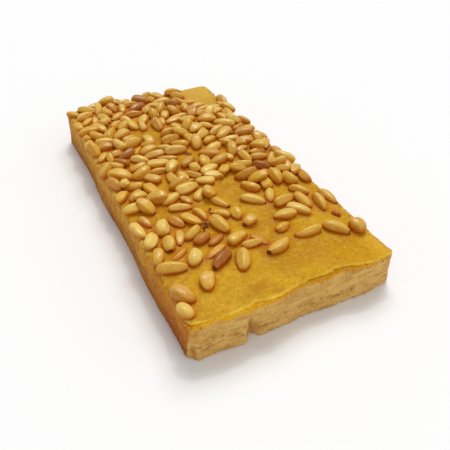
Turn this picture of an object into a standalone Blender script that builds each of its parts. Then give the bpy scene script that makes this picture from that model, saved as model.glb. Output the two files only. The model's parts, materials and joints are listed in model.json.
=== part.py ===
"""Pine nut turron: a cut bar of baked almond paste with pine nuts fused to its glazed top.

Metres, +Z up. The origin is under the middle of the bar, on the surface that it rests on.
+Y runs along the bar from its cut front end to its back end, and +X runs across it.
"""

import math
import random

import bmesh
import bpy
import numpy as np
from mathutils import Matrix, Vector

# Driving sizes of the bar
BAR_LENGTH = 0.180
BAR_WIDTH = 0.089
BAR_THICKNESS = 0.018
CORNER_RADIUS = 0.0034
TOP_EDGE_RADIUS = 0.0018
TOP_CROWN = 0.0006
BASE_FLARE = 0.0008
SIDE_WAVE = 0.0005
FRONT_WIDENING = 0.0028
FRONT_WIDENING_LENGTH = 0.060
MESH_STEP = 0.0105

# The uneven cut at the front end: its foot stands out left of a notch, and the left foot is chipped
FOOT_REACH = 0.0006
FOOT_HEIGHT = 0.011
NOTCH_FROM_LEFT = 0.0258
NOTCH_REACH = 0.0042
NOTCH_DEPTH = 0.0026
CHIP_SIZE = 0.0036
CHIP_DEPTH = 0.0030

# The pine nuts
NUT_LENGTH = 0.0104
NUT_LENGTH_SPREAD = 0.0010
NUT_LENGTH_LIMITS = (0.0080, 0.0126)
NUT_SLIMNESS_LIMITS = (0.46, 0.62)
NUT_FLATNESS_LIMITS = (0.80, 0.95)
NUT_TAPER = 0.76
NUT_BLUNTNESS = 0.42
NUT_SINK = 0.0010
NUT_CONTACT = 0.88
NUT_SIDES = 6
NUT_RINGS = (0.12, 0.74)
NUT_FULLNESS = 1.10
NUT_COUNT = 151
NUT_SEED = 11
NUT_OVERHANG = 0.0010
HEAP_LIMIT = 0.0068
PITCH_LIMIT = 24
PITCH_STEP = 6
TRIES_PER_NUT = 60
HEIGHT_CELL = 0.0005

# Where the scattered nuts stop towards the front: (across, along) points of the border
SCATTER_BORDER = (
    (-0.050, -0.024),
    (-0.030, -0.021),
    (-0.012, -0.024),
    (0.004, -0.028),
    (0.024, -0.029),
    (0.036, -0.030),
    (0.050, -0.037),
)

# Patches where the glaze shows bare: middle across and along, half width, half length
BARE_PATCHES = (
    (0.0375, 0.0770, 0.0160, 0.0190),
    (-0.0110, 0.0420, 0.0100, 0.0085),
    (0.0020, 0.0120, 0.0095, 0.0060),
    (0.0050, -0.0215, 0.0095, 0.0100),
    (0.0080, -0.0480, 0.0075, 0.0120),
    (-0.0215, -0.0090, 0.0045, 0.0070),
)

# Single nuts in front of the scatter and by the bare corner, placed one by one:
# middle across, middle along, length and width in metres, and heading of the pointed end in degrees
SINGLE_NUTS = (
    (0.0109, -0.0359, 0.0121, 0.0052, -40),
    (0.0195, -0.0362, 0.0095, 0.0049, -117),
    (0.0232, -0.0424, 0.0118, 0.0055, 13),
    (0.0334, -0.0385, 0.0101, 0.0052, -56),
    (0.0308, -0.0460, 0.0117, 0.0055, -85),
    (0.0368, -0.0505, 0.0116, 0.0052, -99),
    (0.0428, -0.0485, 0.0115, 0.0047, -82),
    (0.0255, -0.0507, 0.0115, 0.0052, -53),
    (0.0182, -0.0513, 0.0111, 0.0053, 172),
    (0.0132, -0.0577, 0.0086, 0.0043, 19),
    (0.0208, -0.0650, 0.0129, 0.0055, 178),
    (0.0046, -0.0680, 0.0120, 0.0062, -160),
    (-0.0002, -0.0612, 0.0091, 0.0041, -59),
    (-0.0043, -0.0622, 0.0089, 0.0043, -8),
    (-0.0079, -0.0568, 0.0106, 0.0053, 22),
    (-0.0122, -0.0692, 0.0120, 0.0062, -115),
    (0.0021, -0.0487, 0.0079, 0.0053, -154),
    (-0.0196, -0.0660, 0.0116, 0.0055, -147),
    (0.0328, -0.0685, 0.0120, 0.0058, -48),
    (0.0415, -0.0715, 0.0078, 0.0066, -86),
    (-0.0384, -0.0617, 0.0122, 0.0060, -19),
    (-0.0293, -0.0742, 0.0088, 0.0062, -115),
    (-0.0402, -0.0762, 0.0108, 0.0066, -59),
    (-0.0420, -0.0832, 0.0079, 0.0056, -70),
    (-0.0284, -0.0597, 0.0103, 0.0064, 62),
    (-0.0194, -0.0601, 0.0116, 0.0039, -155),
    (-0.0332, -0.0553, 0.0091, 0.0036, -152),
    (-0.0345, -0.0481, 0.0093, 0.0058, -102),
    (-0.0290, -0.0458, 0.0101, 0.0041, -111),
    (-0.0412, -0.0537, 0.0089, 0.0047, -114),
    (-0.0400, -0.0429, 0.0106, 0.0056, 59),
    (-0.0329, -0.0373, 0.0101, 0.0068, 71),
    (-0.0424, -0.0343, 0.0118, 0.0051, -80),
    (-0.0235, -0.0459, 0.0097, 0.0056, -147),
    (-0.0211, -0.0506, 0.0092, 0.0056, 30),
    (-0.0160, -0.0535, 0.0097, 0.0041, 31),
    (-0.0201, -0.0374, 0.0105, 0.0053, -60),
    (-0.0108, -0.0462, 0.0118, 0.0064, -80),
    (-0.0262, -0.0360, 0.0088, 0.0047, -67),
    (-0.0380, -0.0300, 0.0085, 0.0043, -74),
    (-0.0208, -0.0268, 0.0107, 0.0049, -18),
    (-0.0034, -0.0310, 0.0111, 0.0047, -66),
    (-0.0073, -0.0382, 0.0105, 0.0045, 132),
    (-0.0148, -0.0353, 0.0100, 0.0047, -79),
    (-0.0008, -0.0420, 0.0075, 0.0053, -94),
    (0.0437, 0.0630, 0.0115, 0.0054, -93),
    (0.0266, 0.0612, 0.0102, 0.0046, 19),
    (0.0254, 0.0518, 0.0098, 0.0050, 5),
    (0.0342, 0.0505, 0.0120, 0.0048, 30),
    (0.0212, 0.0793, 0.0092, 0.0052, -43),
    (0.0383, 0.0446, 0.0112, 0.0062, -96),
)

ALMOND_PASTE = (0.80, 0.55, 0.16, 1.0)


def smooth(value):
    """A soft step: 0 up to 0, 1 from 1 on."""
    value = min(max(value, 0.0), 1.0)
    return value * value * (3.0 - 2.0 * value)


def border_at(across):
    """How far forward the scatter of nuts reaches at a place across the bar."""
    return float(np.interp(across, *zip(*SCATTER_BORDER)))


def in_bare_patch(across, along):
    """True where the glaze shows with no nut on it."""
    return any(
        ((across - middle_x) / half_x) ** 2 + ((along - middle_y) / half_y) ** 2 < 1.0
        for middle_x, middle_y, half_x, half_y in BARE_PATCHES
    )


def top_rise(across, along):
    """How far the glazed top stands above the nominal thickness, and below it near the right edge."""
    u = across / (BAR_WIDTH / 2)
    v = along / (BAR_LENGTH / 2)
    crown = TOP_CROWN * (1.0 - u * u) * (1.0 - v * v)
    wave = 0.0003 * math.sin(2.3 * u + 4.1 * v) + 0.0002 * math.sin(5.2 * u - 3.0 * v + 1.0)
    left_front_lift = 0.0009 * smooth(-u) * smooth(-v)
    right_front_droop = 0.0010 * smooth(u * 2.0 - 1.0) * smooth(-v * 2.5 - 1.2)
    return crown + wave + left_front_lift - right_front_droop


def front_cut(across, height):
    """How far the cut end stands in front of its plane at a place on the face: a foot, a notch, a chip."""
    from_left = across + BAR_WIDTH / 2
    low = 1.0 - smooth((height - 0.5 * FOOT_HEIGHT) / (0.5 * FOOT_HEIGHT))
    foot = FOOT_REACH * low * smooth((NOTCH_FROM_LEFT - from_left) / NOTCH_REACH)
    notch = NOTCH_DEPTH * low * smooth(1.0 - abs(from_left - NOTCH_FROM_LEFT) / NOTCH_REACH)
    chip = CHIP_DEPTH * low * smooth(1.0 - from_left / CHIP_SIZE)
    ripple = 0.0002 * math.sin(from_left * 330.0 + 2.0 * math.sin(height * 500.0))
    return foot - notch - chip + ripple


def bar_point(x, y, z):
    """Turns a point of a plain box into the same point of the real bar."""
    half_x, half_y = BAR_WIDTH / 2, BAR_LENGTH / 2
    inset = min(half_x - abs(x), half_y - abs(y))
    depth = BAR_THICKNESS - z
    beyond = Vector((
        math.copysign(max(abs(x) - half_x + CORNER_RADIUS, 0.0), x),
        math.copysign(max(abs(y) - half_y + CORNER_RADIUS, 0.0), y),
    ))
    inner = Vector((x, y)) - beyond
    if inset < TOP_EDGE_RADIUS and depth < TOP_EDGE_RADIUS:
        edge = Vector((TOP_EDGE_RADIUS - inset, TOP_EDGE_RADIUS - depth))
        edge = edge.normalized() * max(edge)
        inset, depth = TOP_EDGE_RADIUS - edge.x, TOP_EDGE_RADIUS - edge.y
    if beyond.length > 0.0:
        beyond = beyond.normalized() * (CORNER_RADIUS - inset)
    outward = beyond.normalized()
    place = inner + beyond
    height = BAR_THICKNESS - depth
    share = height / BAR_THICKNESS
    push = BASE_FLARE * (1.0 - share) ** 2 + SIDE_WAVE * math.sin(place.y * 95.0 + place.x * 140.0)
    at_side = 1.0 - smooth(inset / TOP_EDGE_RADIUS)
    place += outward * push * at_side
    if x > 0.0:
        place.x += FRONT_WIDENING * smooth(1.0 - (y + half_y) / FRONT_WIDENING_LENGTH) * (x / half_x) ** 3
    if outward.y < 0.0:
        place.y -= front_cut(place.x, height) * at_side * outward.y ** 2
    return Vector((place.x, place.y, height + top_rise(place.x, place.y) * share ** 2))


def stations(half, rims):
    """Where the box is cut along one axis: close by the rim on both sides, even between."""
    inner = half - max(rims)
    count = round(2.0 * inner / MESH_STEP)
    middle = [-inner + 2.0 * inner * i / count for i in range(count + 1)]
    return middle + [s * (half - rim) for rim in rims[:-1] for s in (-1.0, 1.0)]


def build_bar(collection):
    """The bar of almond paste, from a box that is cut into a grid and then shaped."""
    mesh = bpy.data.meshes.new("turron")
    bm = bmesh.new()
    size = Matrix.Diagonal((BAR_WIDTH, BAR_LENGTH, BAR_THICKNESS, 1.0))
    lifted = Matrix.Translation((0.0, 0.0, BAR_THICKNESS / 2))
    bmesh.ops.create_cube(bm, size=1.0, matrix=lifted @ size)
    rims = (0.3 * TOP_EDGE_RADIUS, TOP_EDGE_RADIUS, CORNER_RADIUS)
    notch = [NOTCH_FROM_LEFT + NOTCH_REACH * step - BAR_WIDTH / 2 for step in (-1.0, -0.4, 0.0, 1.0)]
    cuts = {
        (1.0, 0.0, 0.0): stations(BAR_WIDTH / 2, rims) + notch,
        (0.0, 1.0, 0.0): stations(BAR_LENGTH / 2, rims),
        (0.0, 0.0, 1.0): [BAR_THICKNESS * 0.35, BAR_THICKNESS * 0.65]
        + [BAR_THICKNESS - rim for rim in rims[:2]],
    }
    for normal, places in cuts.items():
        for place in places:
            everything = bm.verts[:] + bm.edges[:] + bm.faces[:]
            bmesh.ops.bisect_plane(
                bm, geom=everything, plane_co=Vector(normal) * place, plane_no=normal, dist=1e-6
            )
    for vertex in bm.verts:
        vertex.co = bar_point(*vertex.co)
    underside = [f for f in bm.faces if f.calc_center_median().z < 1e-6]
    bmesh.ops.dissolve_faces(bm, faces=underside)
    bmesh.ops.recalc_face_normals(bm, faces=bm.faces[:])
    bm.to_mesh(mesh)
    bm.free()
    bar = bpy.data.objects.new("turron", mesh)
    collection.objects.link(bar)
    return bar


def nut_swell(share):
    """How wide a pine nut is at a share of its length, from its blunt end, as a part of its full width."""
    share = np.clip(share, 0.0, 1.0)
    return np.sin(math.pi * share ** NUT_TAPER) ** NUT_BLUNTNESS


class NutLayer:
    """Lays pine nuts one by one on a map of heights, each where and how it comes to rest lowest."""

    def __init__(self):
        reach_x = BAR_WIDTH / 2 + FRONT_WIDENING
        reach_y = BAR_LENGTH / 2 + FRONT_WIDENING
        self.xs = np.arange(-reach_x, reach_x, HEIGHT_CELL)
        self.ys = np.arange(-reach_y, reach_y, HEIGHT_CELL)
        self.heights = np.array([
            [BAR_THICKNESS + top_rise(x, y) for y in self.ys] for x in self.xs
        ])
        self.nuts = []

    def footprint(self, x, y, length, width, thickness, heading):
        """The cells under a level nut there: their indices, places along it, and the nut's half thickness."""
        reach = length / 2 + HEIGHT_CELL
        columns = np.nonzero(np.abs(self.xs - x) < reach)[0]
        rows = np.nonzero(np.abs(self.ys - y) < reach)[0]
        dx, dy = np.meshgrid(self.xs[columns] - x, self.ys[rows] - y, indexing="ij")
        along = dx * math.cos(heading) + dy * math.sin(heading)
        aside = dy * math.cos(heading) - dx * math.sin(heading)
        swell = nut_swell(along / length + 0.5) * (np.abs(along) < length / 2)
        ratio = np.divide(np.abs(aside), swell * width / 2, out=np.full(dx.shape, 2.0), where=swell > 0.05)
        inside = ratio < 0.98
        half = swell * thickness / 2 * np.sqrt(np.clip(1.0 - ratio ** 2, 0.0, 1.0))
        first, second = np.nonzero(inside)
        return (columns[first], rows[second]), along[inside], half[inside]

    def rest(self, x, y, length, width, thickness, heading):
        """The lowest resting height of the nut's middle, and the pitch that gives it."""
        cells, along, half = self.footprint(x, y, length, width, thickness, heading)
        pitches = np.radians(np.arange(-PITCH_LIMIT, PITCH_LIMIT + 1, PITCH_STEP))
        needed = self.heights[cells] + half - np.outer(np.tan(pitches), along)
        rank = int(needed.shape[1] * NUT_CONTACT)
        middles = np.partition(needed, rank, axis=1)[:, rank] + 0.0002 * np.abs(pitches)
        lowest = int(np.argmin(middles))
        return float(middles[lowest]), float(pitches[lowest])

    def lay(self, x, y, length, width, thickness, heading):
        """Lays one nut and raises the map of heights under it."""
        middle, pitch = self.rest(x, y, length, width, thickness, heading)
        middle -= NUT_SINK
        cells, along, half = self.footprint(x, y, length, width, thickness, heading)
        tops = middle + along * math.tan(pitch) + half
        self.heights[cells] = np.maximum(self.heights[cells], tops)
        self.nuts.append({
            "place": (x, y, middle), "length": length, "width": width,
            "thickness": thickness, "heading": heading, "pitch": pitch,
        })


def nut_girth(draw, length):
    """The width and thickness of a nut of that length."""
    width = length * draw.uniform(*NUT_SLIMNESS_LIMITS)
    return width, width * draw.uniform(*NUT_FLATNESS_LIMITS)


def draw_place(draw, length, width):
    """A random place and heading for a nut, with little of it past the sides of the bar."""
    heading = draw.uniform(-math.pi, math.pi)
    reach_x = BAR_WIDTH / 2 + NUT_OVERHANG - max(abs(math.cos(heading)) * length, width) / 2
    reach_y = BAR_LENGTH / 2 + NUT_OVERHANG - max(abs(math.sin(heading)) * length, width) / 2
    return draw.uniform(-reach_x, reach_x), draw.uniform(-reach_y, reach_y), heading


def lay_nuts():
    """All the nuts: the single ones first, then the scatter, which fills its hollows before it heaps up."""
    draw = random.Random(NUT_SEED)
    layer = NutLayer()
    for x, y, length, width, degrees in SINGLE_NUTS:
        thickness = width * draw.uniform(*NUT_FLATNESS_LIMITS)
        layer.lay(x, y, length, width, thickness, math.radians(degrees))
    for _ in range(NUT_COUNT):
        length = min(max(draw.gauss(NUT_LENGTH, NUT_LENGTH_SPREAD), NUT_LENGTH_LIMITS[0]), NUT_LENGTH_LIMITS[1])
        width, thickness = nut_girth(draw, length)
        choices = []
        while len(choices) < TRIES_PER_NUT:
            x, y, heading = draw_place(draw, length, width)
            if y < border_at(x) or in_bare_patch(x, y):
                continue
            middle, _pitch = layer.rest(x, y, length, width, thickness, heading)
            choices.append((middle - top_rise(x, y), x, y, heading))
        height, x, y, heading = min(choices)
        if height + thickness / 2 < BAR_THICKNESS + HEAP_LIMIT:
            layer.lay(x, y, length, width, thickness, heading)
    return layer.nuts


def build_nut(index, nut, collection):
    """One pine nut: a coarse sphere drawn out to a drop, with its pointed end along its heading."""
    bm = bmesh.new()
    turn = Matrix.Rotation(math.pi / 2, 4, "Y")
    bmesh.ops.create_uvsphere(bm, u_segments=NUT_SIDES, v_segments=3, radius=1.0, matrix=turn)
    for vertex in bm.verts:
        share = float(np.interp(vertex.co.x, (-1.0, -0.5, 0.5, 1.0), (0.0, *NUT_RINGS, 1.0)))
        ring = math.hypot(vertex.co.y, vertex.co.z)
        swell = NUT_FULLNESS * float(nut_swell(share)) / ring if ring > 1e-4 else 0.0
        vertex.co = (
            (share - 0.5) * nut["length"],
            vertex.co.y * swell * nut["width"] / 2,
            vertex.co.z * swell * nut["thickness"] / 2,
        )
    bmesh.ops.recalc_face_normals(bm, faces=bm.faces[:])
    mesh = bpy.data.meshes.new(f"nut_{index}")
    bm.to_mesh(mesh)
    bm.free()
    obj = bpy.data.objects.new(f"nut_{index}", mesh)
    heading = Matrix.Rotation(nut["heading"], 4, "Z")
    pitch = Matrix.Rotation(-nut["pitch"], 4, "Y")
    obj.matrix_world = Matrix.Translation(nut["place"]) @ heading @ pitch
    collection.objects.link(obj)


def fuse(bar, nuts, solver):
    """Joins the bar and its nuts into one solid."""
    union = bar.modifiers.new("nuts", "BOOLEAN")
    union.operation = "UNION"
    union.operand_type = "COLLECTION"
    union.collection = nuts
    union.solver = solver
    bpy.context.view_layer.update()
    evaluated = bar.evaluated_get(bpy.context.evaluated_depsgraph_get())
    fused = bpy.data.meshes.new_from_object(evaluated)
    bar.modifiers.clear()
    bar.data = fused
    for obj in list(nuts.objects):
        bpy.data.objects.remove(obj)
    bpy.data.collections.remove(nuts)


def keep_biggest(bar):
    """Drops every scrap that stayed loose and every sealed hollow, which leaves one body."""
    bm = bmesh.new()
    bm.from_mesh(bar.data)
    left = set(bm.faces)
    bodies = []
    while left:
        body = {left.pop()}
        edge_of_body = list(body)
        while edge_of_body:
            face = edge_of_body.pop()
            for edge in face.edges:
                for other in edge.link_faces:
                    if other in left:
                        left.remove(other)
                        body.add(other)
                        edge_of_body.append(other)
        bodies.append(body)
    bodies.sort(key=len)
    for body in bodies[:-1]:
        bmesh.ops.delete(bm, geom=list(body), context="FACES")
    bm.to_mesh(bar.data)
    bm.free()


def centre(bar):
    """Moves the mesh so that its box is centred over the origin and rests at height 0."""
    corners = np.array([v.co for v in bar.data.vertices])
    low, high = corners.min(0), corners.max(0)
    bar.data.transform(Matrix.Translation((-(low[0] + high[0]) / 2, -(low[1] + high[1]) / 2, -low[2])))


def paint(bar):
    """The bar's own colour: golden almond paste, half glossy under its glaze."""
    material = bpy.data.materials.new("almond_paste")
    material.use_nodes = True
    shader = material.node_tree.nodes["Principled BSDF"]
    shader.inputs["Base Color"].default_value = ALMOND_PASTE
    shader.inputs["Roughness"].default_value = 0.5
    shader.inputs["Metallic"].default_value = 0.0
    bar.data.materials.clear()
    bar.data.materials.append(material)


def main():
    for obj in list(bpy.data.objects):
        bpy.data.objects.remove(obj)
    collection = bpy.data.collections.new("pine_nut_turron")
    nuts = bpy.data.collections.new("nuts")
    for made in (collection, nuts):
        bpy.context.scene.collection.children.link(made)
    bar = build_bar(collection)
    for index, nut in enumerate(lay_nuts()):
        build_nut(index, nut, nuts)
    fuse(bar, nuts, "MANIFOLD")
    keep_biggest(bar)
    centre(bar)
    paint(bar)
    bar.data.shade_smooth()
    bar.data.set_sharp_from_angle(angle=math.radians(40))


main()
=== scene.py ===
"""Looks of the pine nut turron: its baked almond paste, its glazed skin, its pine nuts and scraps.

Metres, +Z up. Every shape is worked out in the bar's own plan, centred on the bar, and then
moved to where the bar lies in the frame. The way the nuts come to rest repeats that of the
solid part, so that each nut here lies where its coarse solid does.
"""

import functools
import json
import math
import random

import bmesh
import bpy
import numpy as np
from bpy.props import FloatProperty, FloatVectorProperty, IntProperty, PointerProperty
from bpy.types import Operator, Panel, PropertyGroup
from mathutils import Matrix, Vector, noise

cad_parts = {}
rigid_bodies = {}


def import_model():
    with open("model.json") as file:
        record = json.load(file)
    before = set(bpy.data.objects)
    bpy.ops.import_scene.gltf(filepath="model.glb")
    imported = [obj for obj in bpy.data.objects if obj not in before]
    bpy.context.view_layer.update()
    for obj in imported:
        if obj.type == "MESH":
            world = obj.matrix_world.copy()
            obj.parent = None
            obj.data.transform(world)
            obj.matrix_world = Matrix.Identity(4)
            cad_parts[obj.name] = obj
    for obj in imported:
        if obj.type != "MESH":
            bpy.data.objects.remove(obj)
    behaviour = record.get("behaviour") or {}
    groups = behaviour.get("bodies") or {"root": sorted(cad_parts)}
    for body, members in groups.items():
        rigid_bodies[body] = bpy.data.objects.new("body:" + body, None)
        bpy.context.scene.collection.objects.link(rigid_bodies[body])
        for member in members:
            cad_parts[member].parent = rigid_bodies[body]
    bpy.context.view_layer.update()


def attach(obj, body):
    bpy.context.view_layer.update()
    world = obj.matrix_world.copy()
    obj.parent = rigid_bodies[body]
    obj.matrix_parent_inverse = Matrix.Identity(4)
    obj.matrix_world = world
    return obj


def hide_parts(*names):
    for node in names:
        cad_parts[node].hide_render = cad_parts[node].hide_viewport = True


bl_info = {
    "name": "Pine Nut Turron",
    "version": (1, 0, 0),
    "blender": (4, 5, 0),
    "location": "View3D > Sidebar > Turron",
    "description": "Builds a glazed bar of almond paste turron with its pine nuts, scraps and stage",
    "category": "Object",
}

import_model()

# Sizes of the bar, as in the solid part
BAR_LENGTH = 0.180
BAR_WIDTH = 0.089
BAR_THICKNESS = 0.018
CORNER_RADIUS = 0.0034
TOP_EDGE_RADIUS = 0.0018
CUT_EDGE_RADIUS = 0.0004
TOP_CROWN = 0.0006
BASE_FLARE = 0.0008
SIDE_WAVE = 0.0005
FRONT_WIDENING = 0.0028
FRONT_WIDENING_LENGTH = 0.060
HALF_WIDTH = BAR_WIDTH / 2
HALF_LENGTH = BAR_LENGTH / 2

# The uneven cut at the front end, as in the solid part
FOOT_REACH = 0.0006
FOOT_HEIGHT = 0.011
NOTCH_FROM_LEFT = 0.0258
NOTCH_REACH = 0.0042
NOTCH_DEPTH = 0.0026
CHIP_SIZE = 0.0036
CHIP_DEPTH = 0.0030

# The torn cut face: its rough left part, the share of the height where most holes lie, and the dark
# spot and the cleft above the notch
ROUGH_WIDTH = 0.022
PIT_BAND = 0.31
CLEFT_TOP = 0.0135
SPOT_HEIGHT = 0.0115
SPOT_SIZE = 0.0013

# The top of the paste, hidden under the skin
PASTE_TOP_INSET = 0.0026
PASTE_TOP_DEPTH = 0.0035

# The skin: how far back its broken lip shapes it, how far its collars round the nuts spread, how deep
# its underside lies, and how ragged its long edges are
LIP_LENGTH = 0.012
COLLAR_REACH = 0.00095
SKIN_DEPTH = 0.0026
EDGE_RAGGEDNESS = 0.00035

# The skin's hanging edge, ring by ring, as shares of how far out and how far down it goes
DRIP_PROFILE = ((0.55, 0.35), (0.75, 0.75), (0.35, 1.0), (-2.2, 1.05))
SIDE_DRIP_REACH = 0.00008
FRONT_DRIP_REACH = 0.00016

# The pine nuts, as in the solid part
NUT_LENGTH = 0.0104
NUT_LENGTH_SPREAD = 0.0010
NUT_LENGTH_LIMITS = (0.0080, 0.0126)
NUT_SLIMNESS_LIMITS = (0.46, 0.62)
NUT_FLATNESS_LIMITS = (0.80, 0.95)
NUT_TAPER = 0.76
NUT_BLUNTNESS = 0.42
NUT_SINK = 0.0010
NUT_CONTACT = 0.88
NUT_COUNT = 151
NUT_SEED = 11
NUT_OVERHANG = 0.0010
HEAP_LIMIT = 0.0068
PITCH_LIMIT = 24
PITCH_STEP = 6
TRIES_PER_NUT = 60
HEIGHT_CELL = 0.0005

# Smaller nuts that fill the gaps or lie on the others, which the solid part leaves out. They keep
# farther from the bare patches than the others.
LOOSE_COUNT = 46
LOOSE_LENGTH = 0.0096
LOOSE_CLEARANCE = 1.35

# Where the scattered nuts stop towards the front: (across, along) points of the border
SCATTER_BORDER = (
    (-0.050, -0.024),
    (-0.030, -0.021),
    (-0.012, -0.024),
    (0.004, -0.028),
    (0.024, -0.029),
    (0.036, -0.030),
    (0.050, -0.037),
)

# Patches where the glaze shows bare: middle across and along, half width, half length
BARE_PATCHES = (
    (0.0375, 0.0770, 0.0160, 0.0190),
    (-0.0110, 0.0420, 0.0100, 0.0085),
    (0.0020, 0.0120, 0.0095, 0.0060),
    (0.0050, -0.0215, 0.0095, 0.0100),
    (0.0080, -0.0480, 0.0075, 0.0120),
    (-0.0215, -0.0090, 0.0045, 0.0070),
)

# Single nuts: middle across and along, length and width, heading of the pointed end in degrees,
# shade from 0 pale to 1 brown, tint from 0 dull to 1 glazed over, and 1 where the tip is dark
SINGLE_NUTS = (
    (0.0109, -0.0359, 0.0121, 0.0052, -40, 0.22, 0.45, 1),
    (0.0195, -0.0362, 0.0095, 0.0049, -117, 0.25, 0.40, 0),
    (0.0232, -0.0424, 0.0118, 0.0055, 13, 0.32, 0.70, 0),
    (0.0334, -0.0385, 0.0101, 0.0052, -56, 0.38, 0.50, 0),
    (0.0308, -0.0460, 0.0117, 0.0055, -85, 0.36, 0.60, 0),
    (0.0368, -0.0505, 0.0116, 0.0052, -99, 0.36, 0.60, 0),
    (0.0428, -0.0485, 0.0115, 0.0047, -82, 0.32, 0.40, 1),
    (0.0255, -0.0507, 0.0115, 0.0052, -53, 0.12, 0.70, 0),
    (0.0182, -0.0513, 0.0111, 0.0053, 172, 0.28, 0.35, 0),
    (0.0132, -0.0577, 0.0086, 0.0043, 19, 0.34, 0.95, 0),
    (0.0208, -0.0650, 0.0129, 0.0055, 178, 0.28, 0.85, 0),
    (0.0046, -0.0680, 0.0120, 0.0062, -160, 0.34, 0.35, 1),
    (-0.0002, -0.0612, 0.0091, 0.0041, -59, 0.66, 0.50, 0),
    (-0.0043, -0.0622, 0.0089, 0.0043, -8, 0.36, 0.60, 0),
    (-0.0079, -0.0568, 0.0106, 0.0053, 22, 0.40, 0.40, 0),
    (-0.0122, -0.0692, 0.0120, 0.0062, -115, 0.34, 0.50, 0),
    (0.0021, -0.0487, 0.0079, 0.0053, -154, 0.50, 0.30, 1),
    (-0.0196, -0.0660, 0.0116, 0.0055, -147, 0.90, 0.50, 1),
    (0.0328, -0.0685, 0.0120, 0.0058, -48, 0.44, 0.50, 1),
    (0.0415, -0.0715, 0.0078, 0.0066, -86, 0.56, 0.30, 0),
    (-0.0384, -0.0617, 0.0122, 0.0060, -19, 0.36, 0.50, 0),
    (-0.0293, -0.0742, 0.0088, 0.0062, -115, 0.42, 0.70, 0),
    (-0.0402, -0.0762, 0.0108, 0.0066, -59, 0.60, 0.42, 0),
    (-0.0420, -0.0832, 0.0079, 0.0056, -70, 0.12, 0.60, 0),
    (-0.0284, -0.0597, 0.0103, 0.0064, 62, 0.05, 0.50, 0),
    (-0.0194, -0.0601, 0.0116, 0.0039, -155, 0.30, 0.90, 0),
    (-0.0332, -0.0553, 0.0091, 0.0036, -152, 0.36, 0.80, 0),
    (-0.0345, -0.0481, 0.0093, 0.0058, -102, 0.30, 0.40, 1),
    (-0.0290, -0.0458, 0.0101, 0.0041, -111, 0.36, 0.60, 1),
    (-0.0412, -0.0537, 0.0089, 0.0047, -114, 0.46, 0.60, 0),
    (-0.0400, -0.0429, 0.0106, 0.0056, 59, 0.02, 0.50, 0),
    (-0.0329, -0.0373, 0.0101, 0.0068, 71, 0.06, 0.40, 0),
    (-0.0424, -0.0343, 0.0118, 0.0051, -80, 0.10, 0.40, 0),
    (-0.0235, -0.0459, 0.0097, 0.0056, -147, 0.36, 0.60, 0),
    (-0.0211, -0.0506, 0.0092, 0.0056, 30, 0.84, 0.40, 0),
    (-0.0160, -0.0535, 0.0097, 0.0041, 31, 0.80, 0.50, 0),
    (-0.0201, -0.0374, 0.0105, 0.0053, -60, 0.18, 0.95, 0),
    (-0.0108, -0.0462, 0.0118, 0.0064, -80, 0.34, 0.50, 0),
    (-0.0262, -0.0360, 0.0088, 0.0047, -67, 0.72, 0.50, 0),
    (-0.0380, -0.0300, 0.0085, 0.0043, -74, 0.62, 0.15, 0),
    (-0.0208, -0.0268, 0.0107, 0.0049, -18, 0.20, 0.70, 0),
    (-0.0034, -0.0310, 0.0111, 0.0047, -66, 0.34, 0.50, 1),
    (-0.0073, -0.0382, 0.0105, 0.0045, 132, 0.36, 0.70, 0),
    (-0.0148, -0.0353, 0.0100, 0.0047, -79, 0.36, 0.50, 0),
    (-0.0008, -0.0420, 0.0075, 0.0053, -94, 0.28, 0.90, 0),
    (0.0437, 0.0630, 0.0115, 0.0054, -93, 0.55, 0.45, 1),
    (0.0266, 0.0612, 0.0102, 0.0046, 19, 0.18, 0.60, 0),
    (0.0254, 0.0518, 0.0098, 0.0050, 5, 0.40, 0.40, 0),
    (0.0342, 0.0505, 0.0120, 0.0048, 30, 0.14, 0.60, 0),
    (0.0212, 0.0793, 0.0092, 0.0052, -43, 0.32, 0.30, 0),
    (0.0383, 0.0446, 0.0112, 0.0062, -96, 0.30, 0.30, 0),
)

# The shapes of kernel, the last ones with a blunt dark tip, and the flats round a kernel
PLAIN_KERNELS = 16
KERNELS = 22
KERNEL_SEED = 100
POLE = 0.9999
KERNEL_FLATS = 5
FLAT_SHARPNESS = 14
TIP_SHARE = 0.90
TIP_WIDTH = 0.30

# The shade and tint of the scattered nuts, as middle and spread, and a draw from 0 to 1 for odd ones
USUAL_SHADE = (0.32, 0.13)
USUAL_TINT = (0.52, 0.22)
PALE_BELOW = 0.12
TOASTED_ABOVE = 0.86
BROWN_ABOVE = 0.965

# The shapes of flake and of crumb, how high flakes lie, and how much the sizes vary
FLAKE_SHAPES = 6
FLAKE_SEED = 200
FLAKE_LIFT = 0.0003
FLAKE_LIMIT = 0.0025
CRUMB_SHAPES = 5
SCRAP_SPREAD = 0.2

# How thickly the crumbs lie: along the foot of the cut, on its face, under its lip, on the left edge
FOOT_CRUMBS = 1.0
FACE_CRUMBS = 0.05
LIP_CRUMBS = 0.3
EDGE_CRUMBS = 0.10

# Where papery flakes gather: across, along, spread and how many
FLAKE_SPOTS = (
    (-0.0155, -0.0418, 0.0012, 26),
    (-0.0175, -0.0436, 0.0008, 8),
    (0.0049, -0.0133, 0.0008, 6),
    (0.0079, -0.0127, 0.0006, 4),
    (0.0324, 0.0194, 0.0010, 6),
    (0.0311, 0.0236, 0.0008, 5),
    (0.0010, -0.0378, 0.0006, 4),
    (0.0003, 0.0137, 0.0008, 5),
    (-0.0108, -0.0343, 0.0006, 4),
)

# The one red-brown husk by the right edge: across, along, length, width, thickness, heading in degrees
HUSK = (0.0392, -0.0598, 0.0044, 0.0026, 0.0018, -62)

# Where the middle of the bar's plan lies in the frame, whose origin is the middle of the whole box
BAR_MIDDLE = (-0.00093, 0.00004, 0.0)

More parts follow.
